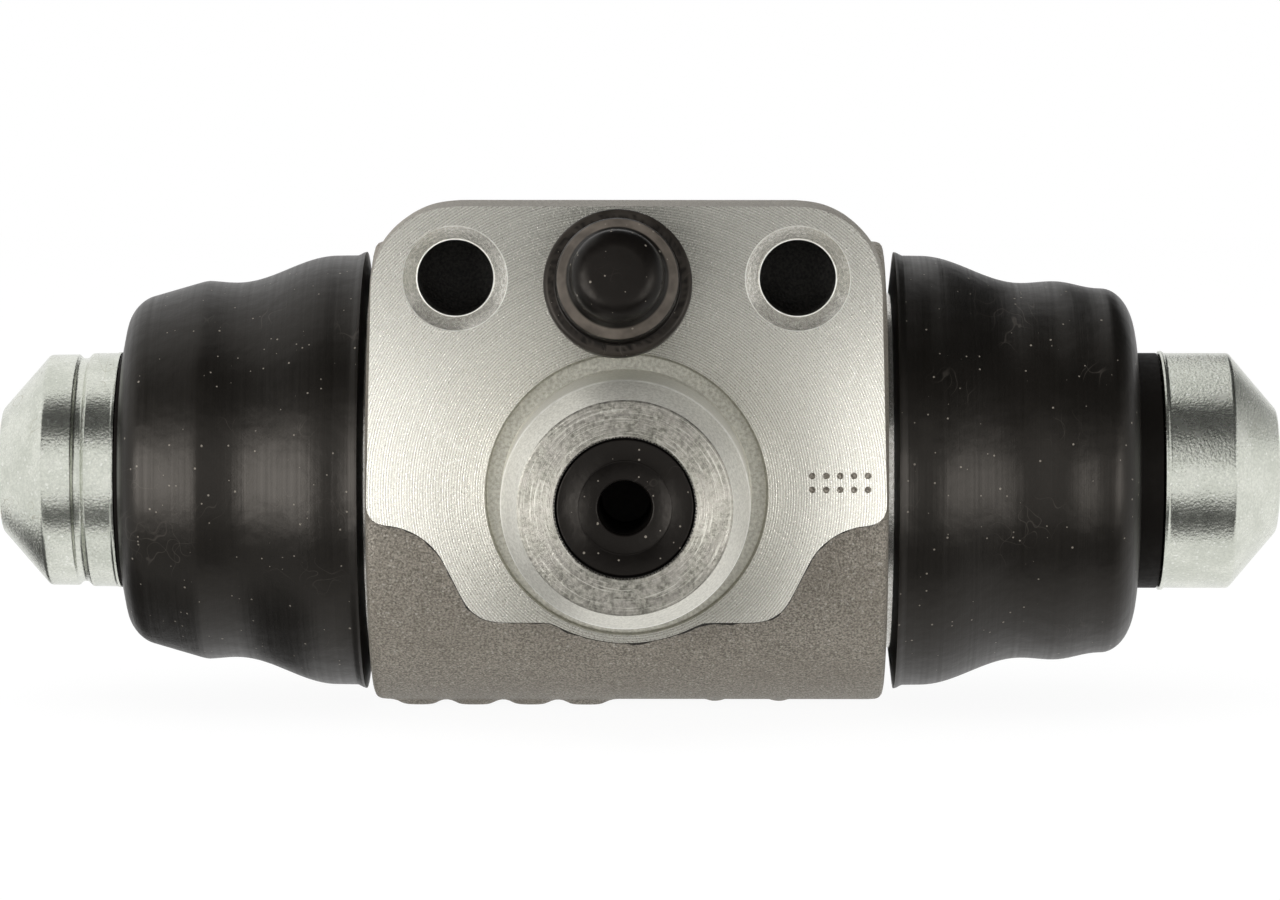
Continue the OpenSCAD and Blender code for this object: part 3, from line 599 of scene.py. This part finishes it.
# %% Spigots, bore, port and bleed drilling
for side in (TO_RIGHT, TO_LEFT):
    machine(casting, lathe([(0, 15), (SPIGOT_R, 15), (SPIGOT_R, 18.15), (SPIGOT_GROOVE_R, 18.15),
                            (SPIGOT_GROOVE_R, 20.15), (SPIGOT_R, 20.15), (SPIGOT_R, 22.45), (10.9, SPIGOT_END),
                            (0, SPIGOT_END)], side @ BORE, 128), "UNION")
machine(casting, lathe([(0, -25), (9.5, -25), (BORE_R, -22.95), (BORE_R, 22.95), (9.5, 25), (0, 25)], BORE, 128))
machine(casting, lathe([(0, -AXIS_Y), (1.25, -AXIS_Y), (1.25, -5.5), (PORT_R, -3.6), (PORT_R, BOSS_H - 0.12),
                        (4.57, BOSS_H), (4.57, 12), (0, 12)], FACE, 128))
machine(casting, lathe([(0, -21), (1.5, -21), (1.5, -8.8), (BLEED_R, -7.5), (BLEED_R, 2.8), (0, 2.8)], BLEED, 96))
print("bored", len(casting.data.polygons), "faces")


# %% Bolt holes and punch dots
def bolt_axis(side):
    """The axis of the left (-1) or right (1) bolt hole."""
    return Matrix.Translation((side * BOLT_X, 0, BOLT_Z)) @ FACE


for side in (-1, 1):
    machine(casting, lathe([(0, -8.8), (TAP_R, -7), (TAP_R, -1.05), (CORE_R, -0.925), (SINK_R, 0, 0.1), (4.2, 0.8),
                            (0, 0.8)], bolt_axis(side), 96))
punch = bmesh.new()
for i in range(10):
    dot = bmesh.ops.create_uvsphere(punch, u_segments=16, v_segments=10, radius=0.24)["verts"]
    bmesh.ops.translate(punch, verts=dot, vec=(12.0 + 0.9 * (i % 5), -0.1, 0.3 + 0.9 * (i // 5)))
machine(casting, punch)
print("drilled", len(casting.data.polygons), "faces")

# %% Deburring
deburred = bmesh.new()
deburred.from_mesh(casting.data)
bmesh.ops.remove_doubles(deburred, verts=deburred.verts, dist=SLIVER)
bmesh.ops.dissolve_degenerate(deburred, edges=deburred.edges, dist=SLIVER)
bmesh.ops.triangulate(deburred, faces=[f for f in deburred.faces if len(f.verts) > 4])
deburred.to_mesh(casting.data)
deburred.free()
print("machined", len(casting.data.polygons), "faces")


# %% Which finish goes where
IRON = [cast_skin, faced_iron, turned_iron, drilled_iron, painted_shade_iron, bright_cut, worn_edge_highlight, relief_iron]
CAST, FACED, TURNED, BORED, TAPPED, CHAMFER, WORN_HIGHLIGHT, RELIEF = range(len(IRON))


def iron_finish(centre, normal):
    """The finish of a face of the housing, from where it lies and which way it looks."""
    across = math.hypot(centre.x, centre.z)
    if abs(centre.y) < 0.01 and normal.y < -0.99:
        return FACED
    if centre.y < RELIEF_D + 0.01 and 4.5 < across < RELIEF_R + 0.11:
        if across > BOSS_R + 0.2:
            return RELIEF
        if across < BOSS_R - 1.2 or centre.y < -BOSS_H + 0.1:
            return TURNED
        # A band of the boss wall is painted pale: partly wear, partly a painted highlight.
        return WORN_HIGHLIGHT if centre.y < -2 and -0.43 < normal.y < -0.02 else CHAMFER
    from_bore = math.hypot(centre.y - AXIS_Y, centre.z)
    if from_bore < 12 and (from_bore < 8.6 or abs(centre.x) > TUBE_END - 0.05):
        return BORED
    for x in (-BOLT_X, BOLT_X):
        if math.hypot(centre.x - x, centre.z - BOLT_Z) < 3.6 and centre.y < 9:
            # Bolt holes: painted shade deep inside, and a pale mouth that is partly a painted highlight.
            return TAPPED if centre.y > 0.93 else WORN_HIGHLIGHT if centre.y < 0.09 else BORED
    along = BLEED.inverted() @ centre
    drill_r = 2.95 if along.z > -8.3 else 1.6
    # The port and the bleed drilling take the painted shade too.
    if along.z > -21 and math.hypot(along.x, along.y) < drill_r or across < 4.6 and centre.y < 12:
        return TAPPED
    return CAST


casting.data.materials.clear()
chosen = [iron_finish(face.center, face.normal) for face in casting.data.polygons]
cut_edges = bmesh.new()
cut_edges.from_mesh(casting.data)
finished(casting, IRON, 28)
casting.data.polygons.foreach_set("material_index", chosen)
print("faces by finish", [chosen.count(i) for i in range(len(IRON))])
place(casting, "housing", "cast_housing", "housing")


# %% [markdown]
# ## Burr
# The facing tool pushes a thin burr over the lower edge of the pad, and a dark, uneven line shows there. The line
# could be painted flat, but a burr catches light from every side, so it is a strip pulled out of the pad's own edge.
# Its near-black colour is painted shade for that dark line.

# %% Facing burr
cut_edges.faces.ensure_lookup_table()
burr = bmesh.new()
grown = {}


def burr_pair(vert):
    """A point of the pad's edge and the burr's tip beside it, away from the faced side."""
    if vert.index not in grown:
        faced = [f.calc_center_median() for f in vert.link_faces if chosen[f.index] == FACED]
        away = vert.co - sum(faced, Vector()) / len(faced)
        away.y = 0
        reach = 0.05 + 0.2 * max(0.0, mathutils.noise.noise(vert.co * 0.9))
        reach += 0.04 * mathutils.noise.noise(vert.co * 5)
        tip = vert.co + away.normalized() * max(reach, 0.02) + Vector((0, 0.03, 0))
        grown[vert.index] = (burr.verts.new(vert.co), burr.verts.new(tip))
    return grown[vert.index]


for edge in cut_edges.edges:
    sides = sorted(chosen[f.index] for f in edge.link_faces)
    if sides == [CAST, FACED] and edge.verts[0].co.z < -1.6 and abs(edge.verts[0].co.y) < 0.01:
        (a, a_tip), (b, b_tip) = burr_pair(edge.verts[0]), burr_pair(edge.verts[1])
        burr.faces.new((a, b, b_tip, a_tip))
cut_edges.free()
bmesh.ops.recalc_face_normals(burr, faces=burr.faces)
bmesh.ops.solidify(burr, geom=burr.faces, thickness=0.05)
# The burr's near-black colour is painted shade.
place(finished(bench_object(burr, "facing_burr"), [painted_shade_iron]), "housing", "cast_housing")

# %% [markdown]
# ## Bolt threads
# Each bolt hole is tapped M6. A thread could be a bump, but it shows in the hole's mouth from the side, so it is a
# real ridge: a small wedge spun down the hole, with a step along the axis at each step of the turn. Its near-black
# colour is painted shade. A thin ring at the foot of the countersink is the rim that the tap has polished, and its
# pale colour is partly a painted highlight.

# %% Bolt threads
def helix_ridge(points, pitch, turns, steps, matrix):
    """A closed profile of (radius, height) spun into a helical ridge with capped ends."""
    bm = bmesh.new()
    verts = [bm.verts.new((r, 0, z)) for r, z in points]
    for a, b in zip(verts, verts[1:] + verts[:1]):
        bm.edges.new((a, b))
    spun = bmesh.ops.spin(bm, geom=bm.verts[:] + bm.edges[:], cent=(0, 0, 0), axis=(0, 0, 1),
                          dvec=(0, 0, -pitch / steps), angle=math.tau * turns, steps=int(steps * turns))
    bm.faces.new(verts)
    last = [g for g in spun["geom_last"] if isinstance(g, bmesh.types.BMEdge)]
    bmesh.ops.edgeloop_fill(bm, edges=last)
    bmesh.ops.transform(bm, matrix=matrix, verts=bm.verts)
    bmesh.ops.recalc_face_normals(bm, faces=bm.faces)
    return bm


for side, label in ((-1, "left"), (1, "right")):
    ridge = helix_ridge([(3.0, -1.1), (2.52, -1.35), (2.52, -1.5), (3.0, -1.75)], 1.0, 5, 64, bolt_axis(side))
    # The thread is near-black: painted shade.
    thread = finished(bench_object(ridge, "bolt_thread_" + label), [painted_shade_iron])
    place(thread, "housing", "cast_housing")
    rim = lathe([(2.46, -0.87), (2.53, -0.88), (2.58, -1.0), (2.48, -1.02)], bolt_axis(side), 96, True)
    # The rim is painted pale: partly polish, partly a painted highlight.
    rim = finished(bench_object(rim, "bolt_rim_" + label), [worn_edge_highlight])
    place(rim, "housing", "cast_housing")

# %% [markdown]
# ## Pistons
# Each piston is a plated steel turning: a cone that meets the brake shoe, a head, a groove for the boot, a body
# with a seal groove, and a pocket for the spring. A cylinder with loop cuts would do, but the profile says more in
# less. The left head has one turned line, and the rims keep a trace of burr, as the real ones do.

# %% Pistons
PISTON_R, PISTON_LENGTH, HEAD_LENGTH, NECK_WIDTH = 7.9, 30.3, 7.95, 2.5


def piston_profile(tip, head):
    """The piston from its tip to its spring pocket, where head gives the points between cone and rim."""
    rim, inner = tip - HEAD_LENGTH, tip - PISTON_LENGTH
    neck = rim - NECK_WIDTH
    body = [(6.2, rim, 0.1), (6.2, neck, 0.1), (PISTON_R, neck, 0.08), (PISTON_R, inner + 4.5, 0.08),
            (6.0, inner + 4.5, 0.1), (6.0, inner + 1.3, 0.1), (PISTON_R, inner + 1.3, 0.08),
            (PISTON_R, inner + 0.5, 0.05), (PISTON_R - 0.5, inner, 0.05), (4.4, inner, 0.1), (4.4, inner + 4, 0.2),
            (0, inner + 4)]
    return [(0, tip), (4.1, tip, 0.18)] + head + body


LEFT_TIP, RIGHT_TIP = 42.05, 43.45
left_head = [(7.74, LEFT_TIP - 3.2, 0.16), (7.76, LEFT_TIP - 5.1, 0.07), (7.5, LEFT_TIP - 5.32, 0.12),
             (7.5, LEFT_TIP - 5.72, 0.12), (7.84, LEFT_TIP - 6.05, 0.06), (7.86, LEFT_TIP - 7.7, 0.05),
             (7.93, LEFT_TIP - 7.82, 0.04), (7.9, LEFT_TIP - HEAD_LENGTH)]
right_head = [(PISTON_R, RIGHT_TIP - 3.25, 0.16), (PISTON_R, RIGHT_TIP - 7.55, 0.1),
              (8.04, RIGHT_TIP - 7.7, 0.05), (8.04, RIGHT_TIP - 7.9, 0.05), (7.8, RIGHT_TIP - HEAD_LENGTH)]
for label, tip, head, side in (("left", LEFT_TIP, left_head, TO_LEFT), ("right", RIGHT_TIP, right_head, TO_RIGHT)):
    turned = lathe(piston_profile(tip, head), side @ BORE, 192)
    piston = finished(bench_object(turned, "plated_piston_" + label), [zinc], 40)
    place(piston, "piston_" + label, "plated_steel", "piston_" + label)

# %% [markdown]
# ## Seals and spring
# These are inside the bore, out of sight in the portrait, but they belong to the part. The seals are lipped rings.
# The spring is a circle of wire spun with a step along the axis: close turns at its ends, open ones between. It is
# made in two halves that meet in the middle, one wound from each end.

# %% Ring seals
for label, tip, side in (("left", LEFT_TIP, TO_LEFT), ("right", RIGHT_TIP, TO_RIGHT)):
    near = tip - PISTON_LENGTH + 1.4
    ring = lathe([(6.1, near + 3, 0.1), (7.8, near + 3, 0.2), (7.9, near + 0.6, 0.08), (7.9, near, 0.06),
                  (7.3, near, 0.2), (6.7, near + 1.5, 0.2), (6.1, near + 1.5, 0.15)], side @ BORE, 128, True)
    seal = finished(bench_object(ring, "ring_seal_" + label), [seal_rubber], 60)
    place(seal, "piston_" + label, "seal_rubber", "seal_" + label)

# %% Return spring
WIRE_R, COIL_R, TURN_STEPS = 0.45, 3.65, 32
SPRING_LOW, SPRING_HIGH = -15.2, 16.6
CLOSED_PITCH, OPEN_TURNS = 1.04, 9
OPEN_PITCH = (SPRING_HIGH - SPRING_LOW - 2 * CLOSED_PITCH) / OPEN_TURNS
for label, start, direction in (("left", SPRING_LOW, 1), ("right", SPRING_HIGH, -1)):
    coil = bmesh.new()
    bmesh.ops.create_circle(coil, cap_ends=True, segments=14, radius=WIRE_R)
    bmesh.ops.rotate(coil, cent=(0, 0, 0), matrix=Matrix.Rotation(math.pi / 2, 3, "X"), verts=coil.verts)
    bmesh.ops.translate(coil, verts=coil.verts, vec=(COIL_R, 0, start))
    last = coil.verts[:] + coil.edges[:]
    for pitch, turns in ((CLOSED_PITCH, 1.0), (OPEN_PITCH, OPEN_TURNS / 2)):
        spun = bmesh.ops.spin(coil, geom=last, cent=(0, 0, 0), axis=(0, 0, direction),
                              dvec=(0, 0, direction * pitch / TURN_STEPS), angle=math.tau * turns,
                              steps=int(TURN_STEPS * turns))
        last = spun["geom_last"]
    bmesh.ops.edgeloop_fill(coil, edges=[g for g in last if isinstance(g, bmesh.types.BMEdge)])
    bmesh.ops.transform(coil, matrix=BORE, verts=coil.verts)
    bmesh.ops.recalc_face_normals(coil, faces=coil.faces)
    half = finished(bench_object(coil, "return_spring_" + label), [spring_wire], 50)
    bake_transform(half)
    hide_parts("return_spring")


# %% [markdown]
# ## Dust boots
# A boot is a moulded bellows: a thick band on the housing's spigot, a waist, one soft fold and a rounded end that
# grips the groove behind the piston's head. The left boot is pulled tighter, so its end is one slope. The walls are
# one closed profile of smooth steps, spun about the bore. A shaped cylinder would be quicker, but its wall would have
# no thickness. The band sits at the housing's spigot and the end at the piston's groove.

# %% Boot profile
def ease(u):
    return (1 - math.cos(math.pi * u)) / 2


def stretch(start, end, r_start, r_end, steps):
    """Points of a smooth step in radius along the bore, without its last point."""
    return [(r_start + (r_end - r_start) * ease(i / steps), start + (end - start) * i / steps) for i in range(steps)]


BAND_R, SEAT_R, WAIST_R, CREST_R, ROUND_R, NECK_R = 14.42, 12.02, 12.6, 12.72, 12.24, 7.96
WAIST, CREST, WALL, BOOT_GAP = 26.35, 28.45, 1.35, 8.01
print("boots", 2 * BAND_R, "mm wide")


def boot_profile(tip, mouth, neck_show, round_length, rim_w):
    """The closed profile of a boot. Without a round_length, its end is one slope with a rounded shoulder."""
    neck_end = tip - BOOT_GAP
    face = neck_end - neck_show
    rim_r = NECK_R + rim_w
    outer = stretch(mouth, mouth + 0.7, BAND_R + 0.25, BAND_R, 6)
    outer += stretch(19.5, WAIST, BAND_R, WAIST_R, 24)
    outer += stretch(WAIST, CREST, WAIST_R, CREST_R, 8)
    if round_length:
        round_start = face - round_length
        outer += stretch(CREST, round_start, CREST_R, ROUND_R, 8)
        for i in range(17):
            a = math.pi / 2 * i / 16
            outer.append((rim_r + (ROUND_R - rim_r) * math.cos(a), round_start + round_length * math.sin(a)))
        inner = [(r - WALL, t) for r, t in outer if SPIGOT_END < t < face - WALL]
    else:
        inner = [(r - WALL, t) for r, t in outer if SPIGOT_END < t] + [(CREST_R - WALL, CREST), (10.25, face - WALL)]
        outer += [(CREST_R - 0.03, CREST, 1.6), (11.31, face - 0.55, 1.3), (rim_r, face, 0.25)]
    neck_start = tip - HEAD_LENGTH - NECK_WIDTH + 0.12
    collar = [(NECK_R, face, 0.1)]
    if neck_show > 0.2:
        collar = [(NECK_R - 0.06, face, 0.1), (NECK_R - 0.06, neck_end, 0.1)]
    collar += [(6.32, neck_end, 0.15), (6.32, neck_start, 0.15), (NECK_R, neck_start, 0.1)]
    if face - WALL > neck_start + 0.3:
        collar += [(NECK_R, face - WALL)]
    seat = [(SEAT_R, SPIGOT_END), (SEAT_R, 20.03), (11.12, 20.03, 0.15), (11.12, 18.27, 0.15), (SEAT_R, 18.27),
            (SEAT_R, mouth - 0.3, 0.1)]
    return outer + collar + [(inner[-1][0], max(face - WALL, inner[-1][1] + 0.05))] + inner[::-1] + seat


# %% Boots
for label, tip, mouth, show, rounded, rim, side, direction in (
        ("left", LEFT_TIP, 17.6, 0.3, 0, 0.7, TO_LEFT, -1),
        ("right", RIGHT_TIP, 17.75, 1.6, 2.2, 1.1, TO_RIGHT, 1)):
    shell = lathe(boot_profile(tip, mouth, show, rounded, rim), side @ BORE, 192, True, 10)
    middles = [f.calc_center_median() for f in shell.faces]
    on_collar = [int(math.hypot(c.y - AXIS_Y, c.z) < NECK_R + 0.34) for c in middles]
    boot = finished(bench_object(shell, "dust_boot_" + label), [boot_rubber, collar_rubber], 45)
    boot.data.polygons.foreach_set("material_index", on_collar)
    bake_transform(boot)
    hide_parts("boot_" + label)

# %% [markdown]
# ## Bleed screw and its cap
# The screw is a small plated turning with a hexagon, tilted so that its drilling meets the top of the bore. The
# hexagon comes from a six-sided cone with its corners bevelled. The cap is a moulded hat: flange, body and dome.

# %% Bleed screw
HEX_START, HEX_END, NIPPLE_END = 1.2274, 4.2274, 8.6274
BARB = HEX_END + 2.2
screw = lathe([(0, -9.07), (1.15, -9.07, 0.1), (2.2, -8.02), (2.2, -6.02), (2.72, -5.7), (2.72, HEX_START + 0.5),
               (1.85, HEX_START + 1), (1.85, BARB - 0.55, 0.15), (2.4, BARB, 0.1), (2.4, BARB + 0.55, 0.2),
               (1.85, NIPPLE_END, 0.15), (0.9, NIPPLE_END, 0.08), (0.9, HEX_START), (0, HEX_START)], BLEED, 72)
nut = bmesh.ops.create_cone(screw, cap_ends=True, segments=6, radius1=4.04, radius2=4.04, depth=HEX_END - HEX_START)
bmesh.ops.transform(screw, matrix=BLEED @ Matrix.Translation((0, 0, (HEX_START + HEX_END) / 2)), verts=nut["verts"])
rims = list({e for v in nut["verts"] for e in v.link_edges})
bmesh.ops.bevel(screw, geom=rims, offset=0.18, offset_type="OFFSET", segments=2, profile=0.5, affect="EDGES",
                material=-1, clamp_overlap=True)
bleed_screw = finished(bench_object(screw, "plated_bleed_screw"), [zinc])
place(bleed_screw, "bleed_screw", "plated_steel", "bleed_screw")

# %% Bleed cap
CAP_BASE = HEX_END + 0.12
hat = lathe([(2.52, CAP_BASE, 0.1), (4.75, CAP_BASE, 0.2), (4.75, CAP_BASE + 1.2, 0.35), (3.95, CAP_BASE + 1.2, 0.15),
             (3.95, CAP_BASE + 2.7, 0.3), (2.98, CAP_BASE + 3.4, 0.55),
             (2.9, CAP_BASE + 5.6, 1.3), (0, CAP_BASE + 5.6), (0, CAP_BASE + 4.4), (2.52, CAP_BASE + 4.4, 0.3)],
            BLEED, 128, True, 6)
heights = [(BLEED.inverted() @ v.co).z - CAP_BASE for v in hat.verts]
cap = finished(bench_object(hat, "bleed_screw_cap"), [cap_rubber], 50)
# Painted sheen: the slope ring below the dome is painted paler, and the flange has a little dust.
sheen_and_dust_mask = cap.data.attributes.new("dust_and_sheen", "FLOAT", "POINT")
sheen_and_dust_mask.data.foreach_set("value", [0.68 if 2.72 < h < 3.3 else 0.15 if h < 1.2 else 0.0 for h in heights])
place(cap, "bleed_screw", "cap_rubber", "bleed_cap")

# %% [markdown]
# ## Port plug
# A rubber transport plug closes the brake line port. It has a blind hole for pulling it out, and a fine moulded
# ring. Both are in the profile, because the ring catches the light from every side.

# %% Port plug
PLUG_TOP, HOLE_R = BOSS_H - 0.2, 1.68
bung = lathe([(0, PLUG_TOP - 9), (4.39, PLUG_TOP - 9, 0.3), (4.39, PLUG_TOP, 0.16), (3.06, PLUG_TOP - 0.02),
              (2.97, PLUG_TOP + 0.05, 0.04), (2.88, PLUG_TOP - 0.02), (1.75, PLUG_TOP, 0.12),
              (HOLE_R, PLUG_TOP - 0.5), (HOLE_R, PLUG_TOP - 7.4, 0.2), (0, PLUG_TOP - 7.4)], FACE, 128)
middles = [f.calc_center_median() for f in bung.faces]
in_hole = [int(math.hypot(c.x, c.z) < HOLE_R + 0.02) for c in middles]
plug = finished(bench_object(bung, "transport_plug"), [cap_rubber, collar_rubber], 40)
plug.data.polygons.foreach_set("material_index", in_hole)
place(plug, "housing", "cap_rubber", "port_plug")

# %% [markdown]
# ## Studio
# The photograph is a product shot on white. Its reflections tell how it was lit: the pistons mirror a white room
# with a dark strip above the camera and one below it, and the crests of the boots mirror a bright round softbox on
# the left and a weaker one on the right. The floor is pale and mostly self-lit for the camera, so it is white and
# still holds a faint shadow. Reflections pass through it and find the same white all round.

# %% Floor
floor_z = cad_box[0][2]
ground = bmesh.new()
bmesh.ops.create_grid(ground, x_segments=1, y_segments=1, size=0.6)
bmesh.ops.translate(ground, verts=ground.verts, vec=(0, 0, floor_z))
floor = bench_object(ground, "studio_floor")
pale = bpy.data.materials.new("pale_floor")
pale.use_nodes = True
tree = pale.node_tree
path = tree.nodes.new("ShaderNodeLightPath").outputs
share = times(tree, path["Is Camera Ray"], 0.88)
lit = tree.nodes["Principled BSDF"]
lit.inputs["Roughness"].default_value = 0.9
lit.inputs["Specular IOR Level"].default_value = 0.0
speckle = noise(tree, tree.nodes.new("ShaderNodeTexCoord").outputs["Object"], 400)
tree.links.new(mix(tree, speckle, (0.87, 0.87, 0.87), (0.89, 0.89, 0.89)), lit.inputs["Base Color"])
glow = add(tree, "ShaderNodeEmission", {"Strength": 1.06})
blended = add(tree, "ShaderNodeMixShader", {0: share, 1: lit.outputs[0], 2: glow.outputs[0]})
tree.links.new(blended.outputs[0], tree.nodes["Material Output"].inputs["Surface"])
floor.data.materials.append(pale)
floor.visible_glossy = floor.visible_transmission = False
print("floor at", round(floor_z, 5))

# %% World
world = bpy.data.worlds.new("studio")
scene.world = world
world.use_nodes = True
tree = world.node_tree
backdrop = tree.nodes["Background"]
backdrop.inputs["Color"].default_value = (1, 1, 1, 1)
path = tree.nodes.new("ShaderNodeLightPath").outputs
seen = math_node(tree, "MAXIMUM", path["Is Camera Ray"], path["Is Glossy Ray"])
seen = math_node(tree, "MAXIMUM", seen, path["Is Transmission Ray"])
tree.links.new(ramp(tree, seen, 0, 1, 0.5, 1.0), backdrop.inputs["Strength"])
print("white surroundings")

# %% [markdown]
# **Lamps and flags.** The two softboxes show in reflections, which is what makes the boots round and the faced iron
# bright at its sides. A flat plated tip would mirror a whole lamp and turn plain white, so light linking spares the
# plated pieces. Flags are the dark cards of a studio. The surroundings could be painted dark instead, but a card has
# a distance, so near and far pieces mirror it differently.

# %% Lamps
spared = bpy.data.collections.new("plated pieces")
for piece in bpy.data.objects:
    if piece.name.startswith("plated_"):
        spared.objects.link(piece)
for member in spared.collection_objects:
    member.light_linking.link_state = "EXCLUDE"


def lamp(name, azimuth, elevation, reach, size, radiance, mirrored):
    """A soft round lamp that faces the part, at angles in degrees and a distance in metres."""
    light = bpy.data.lights.new(name, "AREA")
    light.shape, light.size = "DISK", size
    light.energy = radiance * math.pi * math.pi / 4 * size * size
    holder = bpy.data.objects.new(name, light)
    a, e = math.radians(azimuth), math.radians(elevation)
    away = Vector((math.sin(a) * math.cos(e), -math.cos(a) * math.cos(e), math.sin(e)))
    holder.location = away * reach
    holder.rotation_euler = (-away).to_track_quat("-Z", "Y").to_euler()
    holder.visible_glossy = mirrored
    if mirrored:
        holder.light_linking.receiver_collection = spared
    scene.collection.objects.link(holder)


lamp("softbox_left", -46, -4, 0.6, 0.48, 6.9, True)
lamp("softbox_right", 46, -4, 0.6, 0.42, 4.4, True)
lamp("overhead", -25, 75, 0.9, 1.0, 1.0, False)
print("three lamps")


# %% Flags
def flag(name, value, corners):
    """A dark card that only reflections see, from its corners in millimetres."""
    felt = bpy.data.materials.new(name)
    felt.use_nodes = True
    tree = felt.node_tree
    tree.nodes.remove(tree.nodes["Principled BSDF"])
    shade = add(tree, "ShaderNodeEmission", {"Color": (value, value, value, 1)})
    tree.links.new(shade.outputs[0], tree.nodes["Material Output"].inputs["Surface"])
    bm = bmesh.new()
    bm.faces.new([bm.verts.new(Vector(c) * MM) for c in corners])
    card = bench_object(bm, name)
    card.data.materials.append(felt)
    card.visible_camera = card.visible_diffuse = card.visible_shadow = False


def strip(low, high, left, right, reach=300):
    """Corners of a strip in front of the bore, between two angles above it and two places along it."""
    corners = []
    for angle, ends in ((low, (left, right)), (high, (right, left))):
        a = math.radians(angle)
        corners += [(x, AXIS_Y - reach * math.cos(a), reach * math.sin(a)) for x in ends]
    return corners


def level(left, right, near, far, z):
    """Corners of a level card at one height."""
    return [(left, near, z), (right, near, z), (right, far, z), (left, far, z)]


flag("flag_above_left", 0.09, strip(34, 79, -500, 0))
flag("flag_above_right", 0.07, strip(34, 75, 0, 500))
flag("flag_below_left", 0.13, strip(-54, -28, -500, 0))
flag("flag_below_right", 0.08, strip(-60, -25, 0, 500))
flag("flag_over_right", 0.05, level(110, 600, -60, 800, 300))
flag("flag_far_right", 0.5, level(600, 1300, -60, 1800, 300))
flag("flag_under_left", 0.08, level(-600, -130, -60, 600, -300))
flag("flag_upper_right", 0.06, [(105, -270, 60), (300, -270, 60), (300, -270, 230), (105, -270, 230)])
flag("flag_overhead", 0.05, [(-22, -50, 60), (30, -100, 60), (30, 45, 60), (-22, 45, 60)])
print("nine flags")

# %% [markdown]
# ## Camera
# The photograph looks at the mounting face from a little above, from about 43 cm, which the curve of the round
# rims gives away. The lens is long, and the aim is set so that the bore falls where it does in the picture.

# %% Camera
AZIMUTH, ELEVATION, DISTANCE = math.radians(0.45), math.radians(5.0), 0.430
level_part = math.cos(ELEVATION)
back = Vector((math.sin(AZIMUTH) * level_part, -math.cos(AZIMUTH) * level_part, math.sin(ELEVATION)))
right = Vector((math.cos(AZIMUTH), math.sin(AZIMUTH), 0))
up = back.cross(right)
aim = Vector((0, AXIS_Y * MM, 0)) + right * 0.00074 + up * 0.001346
lens = bpy.data.cameras.new("portrait")
lens.lens, lens.sensor_width, lens.clip_start = 179.7, 36.0, 0.01
camera = bpy.data.objects.new("portrait", lens)
camera.location = aim + back * DISTANCE
camera.rotation_euler = (-back).to_track_quat("-Z", "Y").to_euler()
scene.collection.objects.link(camera)
scene.camera = camera
scene.view_settings.view_transform = "Standard"
print("camera at", [round(c, 4) for c in camera.location])
